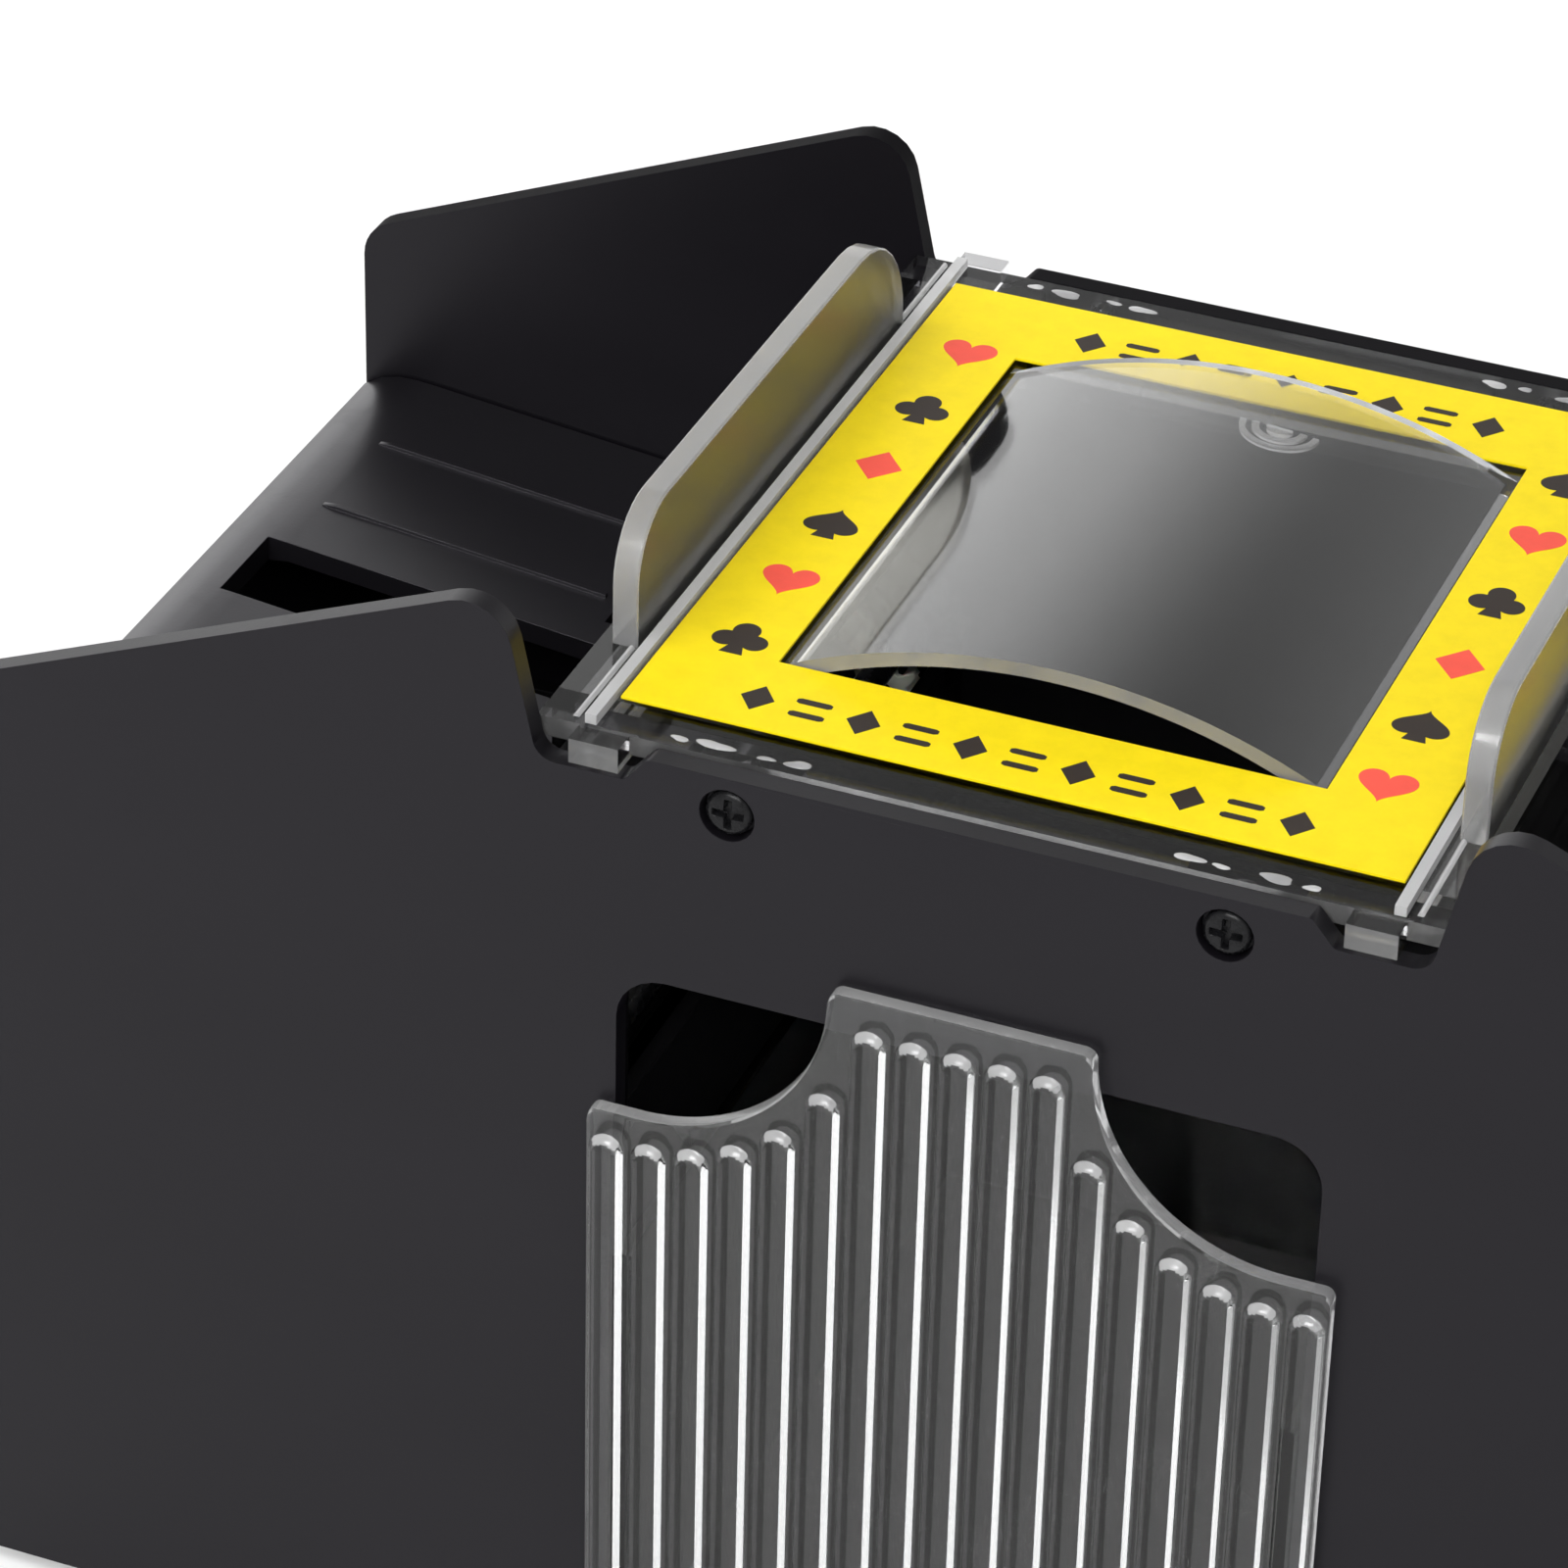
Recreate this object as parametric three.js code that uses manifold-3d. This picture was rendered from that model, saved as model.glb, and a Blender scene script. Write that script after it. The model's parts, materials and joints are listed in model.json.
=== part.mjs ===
// Automatic card shuffler, in millimetres. X runs along the body, -Y is the front with the drawer
// and +Z is up. Cards wait in a sloping tray at each end, geared rollers throw them one by one into
// the middle, and the shuffled deck drops into the clear drawer.

import * as THREE from 'three';
import { mergeVertices } from 'three/addons/utils/BufferGeometryUtils.js';
import Module from 'manifold-3d';

const wasm = await Module();
wasm.setup();

// ---- driving dimensions ------------------------------------------------------------------------

const LENGTH = 209.6;            // over both tray ends
const DEPTH = 100;               // over the front and rear panels
const WALL = 2.3;                // moulded wall thickness
const GAP = 0.3;                 // clearance between separate pieces
const FOOT_HEIGHT = 1.5;         // the body stands this far above the table
const DECK = 115.3;              // height of the printed label's surface
const BASE_THICKNESS = 3;
const HALF_LENGTH = LENGTH / 2;
const INNER_Y = DEPTH / 2 - WALL;
const BASE_TOP = FOOT_HEIGHT + BASE_THICKNESS;
const STAND = BASE_TOP + GAP;    // bottom of everything that stands on the base plate

// Side panel outline: middle rim, lug notch, wing peak and outer shoulder, each (x, z, radius).
const RIM = [31.0, DECK - 0.8, 0.8];
const NOTCH = [33.2, DECK - 3.4, 0.8];
const WING_FOOT = [41.7, DECK - 3.4, 2.2];
const WING_PEAK = [45.3, DECK + 13.05, 4.5];
const SHOULDER = [HALF_LENGTH, DECK - 11.35, 4.5];
const PANEL_FOOT = [HALF_LENGTH, FOOT_HEIGHT, 0.8];

// Card trays.
const TRAY_OUTER_Z = 87.9;       // floor height at the outer end
const TRAY_SLOPE = 0.106;        // fall per millimetre towards the middle
const TRAY_INNER_X = 46.1;       // inner end of the tray floor
const TRAY_ROUND = 8;            // length of the rounded outer end
const TRAY_DROP = 1.6;           // fall of the rounded outer end
const TRAY_HALF_WIDTH = INNER_Y - GAP;
const SLOT = { x0: 52, x1: 99, y0: 1, y1: 12 };
const RIDGES = [-34, -20.4, -6.8, 20.4, 34];
const POST = { x: 97, y: 43.5, radius: 3.4 };

// Shafts and rollers: x is the distance from the middle, z the height.
const FEED = { x: 54.2, z: 70.5, tyre: 13, rim: 9.7, y0: 17, y1: 31 };
const EXIT = { x: 39.7, z: 75.1, tyre: 6, halfWidth: 9 };
const SHAFT = 1.5;
const SHAFT_END = INNER_Y - 0.6;

// Gear train, all in one module. Each gear is placed from the two gears that it joins.
const MODULE = 0.8;
const TEETH = { feed: 21, exit: 11, idler: 10, small: 10, large: 24, motor: 10 };
const PLANE_A = [39.3, 42.7];    // feed, idler, exit and small reduction gears
const PLANE_B = [35.6, 38.8];    // large reduction gear and motor pinion
const REDUCTION_ANGLE = -55;     // degrees, from the feed shaft down and outwards
const MOTOR_ANGLE = -50;         // degrees, from the reduction gear down and outwards
const POST_RADIUS = 1.2;
const MOTOR = { radius: 12, halfHeight: 9.6, length: 28, boss: 3.4, cap: 4.5 };
const MOTOR_PLATE = { halfWidth: 14, thickness: 1.8, above: 12 };

// Mechanism frames, one inside each panel.
const FRAME = { y0: 44.2, y1: 47.2, x: 66, legTop: 79, mastX: 41.2, top: 111.5 };
const CHUTE_X = 35;              // half width of the chute, inside the bulkheads
const BULKHEAD = 1.8;
const CHUTE_WALL = { top: 72.6, tyreHalf: 10, tyreZ: 68.3, gearY: 38.4, gearZ: 69.4 };
const OPENING = { x: 33.8, z: 90.9, radius: 4.8 };

// Clear top cover.
const PLATE = { x: 42.9, y: 47.2, z0: DECK - 2.6, z1: DECK - 0.6 };
const FIN = { x0: 39.0, x1: 41.6, y: 33.4, top: DECK + 12.4, frontRadius: 7, rearRadius: 12 };
const RAIL = { x0: 37.3, x1: 38.4, y: 46.8, top: DECK + 0.4 };
const SKIRT = { thickness: 1.6, y: 43.9, bottom: 82.7 };
const DOME = { x: 25.8, y0: -30.8, y1: 28.2, crown: DECK + 5.6, foot: DECK - 0.5, wall: 1.4 };
const LABEL = { x: 36.85, y: 42.3, holeX: 26.1, holeY0: -31.1, holeY1: 30.4 };
const TAB = { x0: 18, x1: 29, bottom: 104 };
const LUG = { x0: 33.9, x1: 38.7, z0: DECK - 3.1, z1: DECK - 0.6 };
const COVER_SCREW = { x: 23.3, z: 110.65, head: 2.25, shank: 1.05 };

// Drawer.
const DRAWER = { x: 33.4, wall: 1.3, z0: 5.2, floor: 1.6, top: 60, back: 43.8 };
const FRONT = { x: 35.9, z0: 2.6, thickness: 1.5, top: DECK - 19.5, side: DECK - 38.8 };
const SCOOP = { x: 31, z: DECK - 20.4, radius: 18.4 };
const RIB = { count: 17, pitch: 4.24, width: 3.5, height: 0.8, margin: 2.6, topMargin: 3.2, flat: 2.5 };
const FRONT_PROUD = GAP + FRONT.thickness + RIB.height;

// Power button and its switch.
const BUTTON = { x: 79, z: 56, halfX: 11, halfZ: 7, radius: 4, proud: 1.2, stemEnd: -42 };
const SWITCH = { y0: -38.4, y1: -28, halfX: 9, halfZ: 6, leg: 6, plunger: 1.4, bore: 4.9 };

// Battery bay, under the left tray, for four AA cells side by side.
const BAY = { x0: 39, x1: 101, y: 31, wall: 1.5, top: 22 };
const CELL = { pitch: 14.75, z: 12.6 };
const CONTACT = { z0: 6, z1: 19.5, thickness: 0.8 };
const SPRING = { tip: 2.6, foot: 4, length: 5 };
const NUB = { tip: 2, foot: 2.8, length: 1 };
const DOOR = { x: 42, lower: 28.6, upper: 30.2, ledge: 1.4 };
const GRIP = { count: 4, pitch: 2.4, width: 1.2, start: 95, halfLength: 12, depth: 0.5 };

// ---- materials ---------------------------------------------------------------------------------

function plastic(color, roughness) {
  return new THREE.MeshStandardMaterial({ color, roughness, metalness: 0 });
}

function metal(color, roughness) {
  return new THREE.MeshStandardMaterial({ color, roughness, metalness: 1 });
}

const blackPlastic = plastic(0x2b2a2e, 0.45);
const clearPlastic = new THREE.MeshStandardMaterial({
  color: 0xdfe3e6, roughness: 0.08, metalness: 0, transparent: true, opacity: 0.35,
});
const labelInk = plastic(0xfde41a, 0.35);
const rubber = plastic(0x1b1b1c, 0.85);
const gearPlastic = plastic(0xece8dc, 0.4);
const framePlastic = plastic(0x3a3b3f, 0.55);
const steel = metal(0xb9bcc0, 0.3);
const blackSteel = metal(0x1a1a1c, 0.45);
const motorSteel = metal(0xc2c4c6, 0.35);

// ---- shape helpers -----------------------------------------------------------------------------

const group = new THREE.Group();
const body = new THREE.Group();
// The drawer front stands proud, so the body moves back to keep the origin under the middle.
body.position.y = FRONT_PROUD / 2;
group.add(body);

function add(name, shape, material) {
  const geometry = shape.isBufferGeometry ? shape : toGeometry(shape);
  const mesh = new THREE.Mesh(geometry, material);
  mesh.name = name;
  body.add(mesh);
  return mesh;
}

function toSolid(geometry) {
  const bare = geometry.clone();
  bare.deleteAttribute('normal');
  bare.deleteAttribute('uv');
  const merged = mergeVertices(bare, 1e-4);
  return new wasm.Manifold(new wasm.Mesh({
    numProp: 3,
    vertProperties: new Float32Array(merged.attributes.position.array),
    triVerts: new Uint32Array(merged.index.array),
  }));
}

function toGeometry(solid) {
  const mesh = solid.getMesh();
  const geometry = new THREE.BufferGeometry();
  geometry.setAttribute('position', new THREE.BufferAttribute(mesh.vertProperties, 3));
  geometry.setIndex(new THREE.BufferAttribute(mesh.triVerts, 1));
  geometry.computeVertexNormals();
  return geometry;
}

function join(...parts) {
  return parts.map(asSolid).reduce((sum, part) => sum.add(part));
}

function cut(blank, ...tools) {
  return tools.map(asSolid).reduce((rest, tool) => rest.subtract(tool), asSolid(blank));
}

function asSolid(shape) {
  return shape.isBufferGeometry ? toSolid(shape) : shape;
}

function block(x0, x1, y0, y1, z0, z1) {
  const geometry = new THREE.BoxGeometry(Math.abs(x1 - x0), Math.abs(y1 - y0), Math.abs(z1 - z0));
  return geometry.translate((x0 + x1) / 2, (y0 + y1) / 2, (z0 + z1) / 2);
}

// Cylinders along Y and along Z.
function rodY(x, z, radius, y0, y1, sides = 16) {
  return new THREE.CylinderGeometry(radius, radius, y1 - y0, sides).translate(x, (y0 + y1) / 2, z);
}

function rodZ(x, y, radius, z0, z1, sides = 16) {
  const geometry = new THREE.CylinderGeometry(radius, radius, z1 - z0, sides);
  return geometry.rotateX(Math.PI / 2).translate(x, y, (z0 + z1) / 2);
}

function extrude(points, depth, holes = []) {
  const shape = new THREE.Shape(points);
  shape.holes = holes.map((hole) => new THREE.Path(hole));
  return new THREE.ExtrudeGeometry(shape, { depth, bevelEnabled: false, steps: 1 });
}

// An outline in X and Z, filled from y0 to y1.
function slabY(points, y0, y1, holes = []) {
  return extrude(points, y1 - y0, holes).rotateX(Math.PI / 2).translate(0, y1, 0);
}

// An outline in Y and Z, filled from x0 to x1.
function slabX(points, x0, x1) {
  const turn = new THREE.Matrix4().makeBasis(
    new THREE.Vector3(0, 1, 0), new THREE.Vector3(0, 0, 1), new THREE.Vector3(1, 0, 0));
  return extrude(points, x1 - x0).applyMatrix4(turn).translate(x0, 0, 0);
}

// An outline in X and Y, filled from z0 to z1.
function slabZ(points, z0, z1, holes = []) {
  return extrude(points, z1 - z0, holes).translate(0, 0, z0);
}

// A ring of revolution about Y; the outline is (radius, y) and closes on itself.
function turnedY(x, z, outline, sides) {
  const points = [...outline, outline[0]].map(([r, y]) => new THREE.Vector2(r, y));
  return new THREE.LatheGeometry(points, sides).translate(x, 0, z);
}

// A closed outline through corners (x, y, radius), with each corner rounded by an arc.
function rounded(corners, steps = 5) {
  const points = [];
  corners.forEach(([x, y, radius], i) => {
    const here = new THREE.Vector2(x, y);
    const [px, py] = corners[(i + corners.length - 1) % corners.length];
    const [nx, ny] = corners[(i + 1) % corners.length];
    const back = new THREE.Vector2(px, py).sub(here).normalize();
    const ahead = new THREE.Vector2(nx, ny).sub(here).normalize();
    if (!radius) {
      points.push(here);
      return;
    }
    const half = Math.acos(THREE.MathUtils.clamp(back.dot(ahead), -1, 1)) / 2;
    const middle = back.clone().add(ahead).normalize();
    const centre = here.clone().addScaledVector(middle, radius / Math.sin(half));
    const reach = radius / Math.tan(half);
    const start = here.clone().addScaledVector(back, reach).sub(centre).angle();
    const end = here.clone().addScaledVector(ahead, reach).sub(centre).angle();
    const sweep = ((end - start + 3 * Math.PI) % (2 * Math.PI)) - Math.PI;
    for (let k = 0; k <= steps; k += 1) {
      const angle = start + (sweep * k) / steps;
      points.push(new THREE.Vector2(
        centre.x + radius * Math.cos(angle), centre.y + radius * Math.sin(angle)));
    }
  });
  return points;
}

// Half an outline, given for x > 0 from the middle outwards, with its mirror image.
function mirrored(half) {
  return [...half, ...half.slice().reverse().map(([x, y, radius]) => [-x, y, radius])];
}

function rectangle(x0, x1, y0, y1, radius = 0) {
  return rounded([[x0, y0, radius], [x1, y0, radius], [x1, y1, radius], [x0, y1, radius]]);
}

// ---- gears -------------------------------------------------------------------------------------

// Tooth angles are measured in the X, Z plane. Flanks are straight, with running backlash.
function gearOutline(teeth, phase) {
  const pitch = (MODULE * teeth) / 2;
  const step = (2 * Math.PI) / teeth;
  const stations = [
    [pitch - 1.15 * MODULE, 0.36],
    [pitch, 0.215],
    [pitch + 0.9 * MODULE, 0.085],
  ];
  const tooth = [
    ...stations.map(([radius, width]) => [radius, -width]),
    ...stations.slice().reverse(),
  ];
  const points = [];
  for (let i = 0; i < teeth; i += 1) {
    for (const [radius, width] of tooth) {
      const angle = phase + step * (i + width);
      points.push(new THREE.Vector2(radius * Math.cos(angle), radius * Math.sin(angle)));
    }
  }
  return points;
}

function circle(radius, sides = 16) {
  return Array.from({ length: sides }, (_, i) => new THREE.Vector2(
    radius * Math.cos((2 * Math.PI * i) / sides), radius * Math.sin((2 * Math.PI * i) / sides)));
}

function gearY(centre, teeth, phase, [y0, y1], bore) {
  const wheel = slabY(gearOutline(teeth, phase), y0, y1, [circle(bore)]);
  return wheel.translate(centre.x, 0, centre.z);
}

function centreDistance(a, b) {
  return (MODULE * (a + b)) / 2;
}

// The turn of gear b that puts one of its gaps over a tooth of gear a, on the line between them.
function meshPhase(a, b, teethA, phaseA, teethB) {
  const line = Math.atan2(b.z - a.z, b.x - a.x);
  const pitchA = (2 * Math.PI) / teethA;
  const pitchB = (2 * Math.PI) / teethB;
  return line + Math.PI - pitchB * (0.5 - (line - phaseA) / pitchA);
}

// The third corner of a triangle whose sides from a and b are known, on the lower side.
function lowerCorner(a, b, fromA, fromB) {
  const dx = b.x - a.x;
  const dz = b.z - a.z;
  const base = Math.hypot(dx, dz);
  const along = (fromA ** 2 - fromB ** 2 + base ** 2) / (2 * base);
  const down = Math.sqrt(fromA ** 2 - along ** 2) * Math.sign(dx);
  return { x: a.x + (along * dx + down * dz) / base, z: a.z + (along * dz - down * dx) / base };
}

function polar(from, distance, degrees, side) {
  const angle = THREE.MathUtils.degToRad(degrees);
  return { x: from.x + side * distance * Math.cos(angle), z: from.z + distance * Math.sin(angle) };
}

// ---- body shell --------------------------------------------------------------------------------

function screwRecess(x, z, side) {
  const outer = (side * DEPTH) / 2;
  const depth = 1.4;
  const ys = [outer + side, outer - side * depth].sort((a, b) => a - b);
  const through = [outer + side, outer - side * (WALL + 1)].sort((a, b) => a - b);
  return [
    rodY(x, z, COVER_SCREW.head + 0.35, ...ys, 24),
    rodY(x, z, COVER_SCREW.shank + 0.25, ...through),
  ];
}

function panel(side) {
  const outline = rounded(mirrored([RIM, NOTCH, WING_FOOT, WING_PEAK, SHOULDER, PANEL_FOOT]), 6);
  const ys = [side * INNER_Y, (side * DEPTH) / 2].sort((a, b) => a - b);
  const recesses = [-1, 1].flatMap((s) => screwRecess(s * COVER_SCREW.x, COVER_SCREW.z, side));
  return cut(slabY(outline, ...ys), ...recesses);
}

function frontPanel() {
  const y0 = -DEPTH / 2 - 1;
  const y1 = -INNER_Y + 1;
  const { x, z, radius } = OPENING;
  const opening = rounded([[-x, STAND, 0], [x, STAND, 0], [x, z, radius], [-x, z, radius]], 6);
  const hole = rectangle(
    BUTTON.x - BUTTON.halfX - 0.4, BUTTON.x + BUTTON.halfX + 0.4,
    BUTTON.z - BUTTON.halfZ - 0.4, BUTTON.z + BUTTON.halfZ + 0.4, BUTTON.radius);
  return cut(panel(-1), slabY(opening, y0, y1), slabY(hole, y0, y1));
}

// One tray: end wall, rounded outer end, sloping floor with ridges, slot and roller windows.
function tray(side) {
  const floorZ = (x) => TRAY_OUTER_Z - TRAY_SLOPE * (HALF_LENGTH - x);
  const roundStart = HALF_LENGTH - TRAY_ROUND;
  const roundEnd = [1, 2, 3, 4].map((k) => {
    const t = k / 4;
    const x = roundStart + TRAY_ROUND * t;
    return [side * x, floorZ(x) - (TRAY_DROP + 0.8) * t ** 3];
  });
  const outline = [
    [side * TRAY_INNER_X, floorZ(TRAY_INNER_X)],
    [side * roundStart, floorZ(roundStart)],
    ...roundEnd,
    [side * HALF_LENGTH, FOOT_HEIGHT],
    [side * (HALF_LENGTH - WALL), FOOT_HEIGHT],
    [side * (HALF_LENGTH - WALL), floorZ(HALF_LENGTH) - WALL - TRAY_DROP],
    [side * roundStart, floorZ(roundStart) - WALL],
    [side * TRAY_INNER_X, floorZ(TRAY_INNER_X) - WALL],
  ].map(([x, z]) => new THREE.Vector2(x, z));
  const shell = slabY(outline, -TRAY_HALF_WIDTH, TRAY_HALF_WIDTH);
  const ridges = RIDGES.map((y) => {
    const overWindow = Math.abs(y) > FEED.y0 - 1 && Math.abs(y) < FEED.y1 + 1;
    const from = overWindow ? FEED.x + 11 : TRAY_INNER_X + 1.5;
    const to = roundStart;
    const rib = [
      [side * from, floorZ(from) - 0.5], [side * to, floorZ(to) - 0.5],
      [side * to, floorZ(to) + 0.1], [side * (to - 1.5), floorZ(to - 1.5) + 0.4],
      [side * from, floorZ(from) + 0.4],
    ].map(([x, z]) => new THREE.Vector2(x, z));
    return slabY(rib, y - 0.3, y + 0.3);
  });
  const posts = [-1, 1].map((s) => rodZ(side * POST.x, s * POST.y, POST.radius, STAND, 85, 12));
  const pilots = [-1, 1].map((s) => rodZ(side * POST.x, s * POST.y, 1.45, STAND - 1, 16, 12));
  const slot = block(side * SLOT.x0, side * SLOT.x1, SLOT.y0, SLOT.y1, 70, 95);
  const windows = [-1, 1].map((s) => block(
    side * (TRAY_INNER_X - 1), side * (FEED.x + 9.4), s * (FEED.y0 - 0.7), s * (FEED.y1 + 0.7), 70, 95));
  const solid = cut(join(shell, ...ridges, ...posts), ...pilots, slot, ...windows);
  if (side > 0) return solid;
  const notch = block(-HALF_LENGTH - 1, -HALF_LENGTH + WALL + 1,
    -DOOR.upper - 0.6, DOOR.upper + 0.6, FOOT_HEIGHT - 1, STAND);
  return cut(solid, notch);
}

const BASE_SCREW = { head: 2.6, shank: 1.25 };
const FEET = [[-84, -40.5], [84, -40.5], [-84, 40.5], [84, 40.5]];
const FOOT_RADIUS = 5;

function basePlate() {
  const x = HALF_LENGTH - WALL - GAP - 0.1;
  const plate = block(-x, x, -TRAY_HALF_WIDTH, TRAY_HALF_WIDTH, FOOT_HEIGHT, BASE_TOP);
  const doorLower = block(-HALF_LENGTH, -DOOR.x + GAP, -DOOR.lower - GAP, DOOR.lower + GAP,
    FOOT_HEIGHT - 1, BASE_TOP + 1);
  const doorUpper = block(-HALF_LENGTH, -DOOR.x + GAP, -DOOR.upper - GAP, DOOR.upper + GAP,
    FOOT_HEIGHT + DOOR.ledge, BASE_TOP + 1);
  const holes = [];
  for (const sx of [-1, 1]) {
    for (const sy of [-1, 1]) {
      holes.push(rodZ(sx * POST.x, sy * POST.y, BASE_SCREW.head + 0.3, FOOT_HEIGHT - 1, 3.1, 16));
      holes.push(rodZ(sx * POST.x, sy * POST.y, BASE_SCREW.shank + 0.25, FOOT_HEIGHT, BASE_TOP + 1, 12));
    }
  }
  const pockets = FEET.map(([fx, fy]) => rodZ(fx, fy, FOOT_RADIUS + GAP, FOOT_HEIGHT - 1, 2.3, 20));
  return cut(plate, doorLower, doorUpper, ...holes, ...pockets);
}

// Cross recess of a Phillips head that faces along +Z at height z.
function crossRecess(z) {
  const bars = [block(-1.5, 1.5, -0.35, 0.35, z - 0.9, z + 1), block(-0.35, 0.35, -1.5, 1.5, z - 0.9, z + 1)];
  return join(...bars);
}

// A pan-head screw about Z, head at the top with its upper face at z = 0.
function screw({ head, shank }, headHeight, length) {
  const dome = new THREE.LatheGeometry([
    new THREE.Vector2(0, -headHeight - length),
    new THREE.Vector2(shank * 0.6, -headHeight - length),
    new THREE.Vector2(shank, -headHeight - length + 0.8),
    new THREE.Vector2(shank, -headHeight),
    new THREE.Vector2(head, -headHeight),
    new THREE.Vector2(head, -headHeight * 0.4),
    new THREE.Vector2(head * 0.8, -0.08),
    new THREE.Vector2(0, 0),
  ], 16).rotateX(Math.PI / 2);
  return toGeometry(cut(dome, crossRecess(0)));
}

// ---- mechanism frames and chute ----------------------------------------------------------------

function frameOutline() {
  return rounded(mirrored([
    [TAB.x0 - 0.6, FRAME.top, 0.5],
    [TAB.x0 - 0.6, TAB.bottom - 0.6, 0.5],
    [TAB.x1 + 0.6, TAB.bottom - 0.6, 0.5],
    [TAB.x1 + 0.6, FRAME.top, 0.5],
    [FRAME.mastX, FRAME.top, 1],
    [FRAME.mastX, FRAME.legTop, 1],
    [FRAME.x, FRAME.legTop, 2],
    [FRAME.x, STAND, 1],
  ]), 2);
}

function frame(side) {
  const ys = [side * FRAME.y0, side * FRAME.y1].sort((a, b) => a - b);
  const through = [ys[0] - 1, ys[1] + 1];
  const bores = [-1, 1].flatMap((s) => [FEED, EXIT].map(
    (shaft) => rodY(s * shaft.x, shaft.z, SHAFT + 0.25, ...through, 16)));
  return { plate: cut(slabY(frameOutline(), ...ys), ...bores), through };
}

function frontFrame() {
  const { plate, through } = frame(-1);
  const gate = rounded([
    [-CHUTE_X, STAND - 2, 0], [CHUTE_X, STAND - 2, 0],
    [CHUTE_X, OPENING.z + 0.4, 2], [-CHUTE_X, OPENING.z + 0.4, 2]], 2);
  return cut(plate, slabY(gate, ...through));
}

// Chute wall. Its top edge is low under the exit tyre and under the gears at the rear.
function bulkhead(side) {
  const edge = FRAME.y0 - GAP;
  const { top, tyreHalf, tyreZ, gearY: gears, gearZ } = CHUTE_WALL;
  const outline = [
    [-edge, STAND], [edge, STAND], [edge, gearZ], [gears, gearZ], [gears, top],
    [tyreHalf, top], [tyreHalf, tyreZ], [-tyreHalf, tyreZ], [-tyreHalf, top], [-edge, top],
  ].map(([y, z]) => new THREE.Vector2(y, z));
  const xs = [side * CHUTE_X, side * (CHUTE_X + BULKHEAD)].sort((a, b) => a - b);
  return slabX(outline, ...xs);
}

// ---- clear top cover ---------------------------------------------------------------------------

const ARC_STEPS = 12;            // steps from the middle of the arch to each foot

// The arched window, a shell between two concentric arcs with short upright feet.
function archedWindow() {
  const arc = (half, rise, foot) => {
    const radius = (half ** 2 + rise ** 2) / (2 * rise);
    const reach = Math.asin(half / radius);
    return Array.from({ length: 2 * ARC_STEPS + 1 }, (_, i) => {
      const angle = reach * (i / ARC_STEPS - 1);
      return new THREE.Vector2(
        radius * Math.sin(angle), foot + rise - radius * (1 - Math.cos(angle)));
    });
  };
  const outer = arc(DOME.x, DOME.crown - DOME.foot, DOME.foot);
  const inner = arc(DOME.x - DOME.wall, DOME.crown - DOME.foot - 0.4, DOME.foot - 1);
  const outline = [
    new THREE.Vector2(-DOME.x, PLATE.z0), ...outer, new THREE.Vector2(DOME.x, PLATE.z0),
    new THREE.Vector2(DOME.x - DOME.wall, PLATE.z0), ...inner.reverse(),
    new THREE.Vector2(-DOME.x + DOME.wall, PLATE.z0),
  ];
  return slabY(outline, DOME.y0, DOME.y1);
}

function topCover() {
  const plate = block(-PLATE.x, PLATE.x, -PLATE.y, PLATE.y, PLATE.z0, PLATE.z1);
  const hole = block(-DOME.x + DOME.wall, DOME.x - DOME.wall, DOME.y0 + 0.4, DOME.y1 - 0.4,
    PLATE.z0 - 1, PLATE.z1 + 1);
  const parts = [cut(plate, hole), archedWindow()];
  for (const s of [-1, 1]) {
    const fin = rounded([
      [-FIN.y, PLATE.z0, 0], [FIN.y, PLATE.z0, 0],
      [FIN.y, FIN.top, FIN.rearRadius], [-FIN.y, FIN.top, FIN.frontRadius]], 8);
    parts.push(slabX(fin, ...[s * FIN.x0, s * FIN.x1].sort((a, b) => a - b)));
    parts.push(block(s * RAIL.x0, s * RAIL.x1, -RAIL.y, RAIL.y, PLATE.z0, RAIL.top));
    parts.push(block(s * (PLATE.x - SKIRT.thickness), s * PLATE.x, -SKIRT.y, SKIRT.y,
      SKIRT.bottom, PLATE.z1));
    for (const t of [-1, 1]) {
      parts.push(block(s * TAB.x0, s * TAB.x1, t * FRAME.y0, t * PLATE.y, TAB.bottom, PLATE.z1));
      parts.push(block(s * LUG.x0, s * LUG.x1, t * (PLATE.y - 2), t * (DEPTH / 2 - 0.2),
        LUG.z0, LUG.z1));
    }
  }
  const holes = [];
  for (const s of [-1, 1]) {
    holes.push(rodY(s * COVER_SCREW.x, COVER_SCREW.z, COVER_SCREW.shank + 0.2,
      -PLATE.y - 1, PLATE.y + 1, 12));
  }
  return cut(join(...parts), ...holes);
}

function label() {
  const outline = rectangle(-LABEL.x, LABEL.x, -LABEL.y, LABEL.y);
  const hole = rectangle(-LABEL.holeX, LABEL.holeX, LABEL.holeY0, LABEL.holeY1);
  return slabZ(outline, PLATE.z1 + GAP, DECK, [hole]);
}

// ---- drawer ------------------------------------------------------------------------------------

// Height of the scooped top edge at distance x from the middle, moved down by a margin.
function scoopZ(x, margin) {
  const radius = SCOOP.radius + margin;
  const reach = SCOOP.x - x;
  if (reach >= radius) return FRONT.top - margin;
  return SCOOP.z - Math.sqrt(radius ** 2 - Math.max(reach, 0) ** 2);
}

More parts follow.
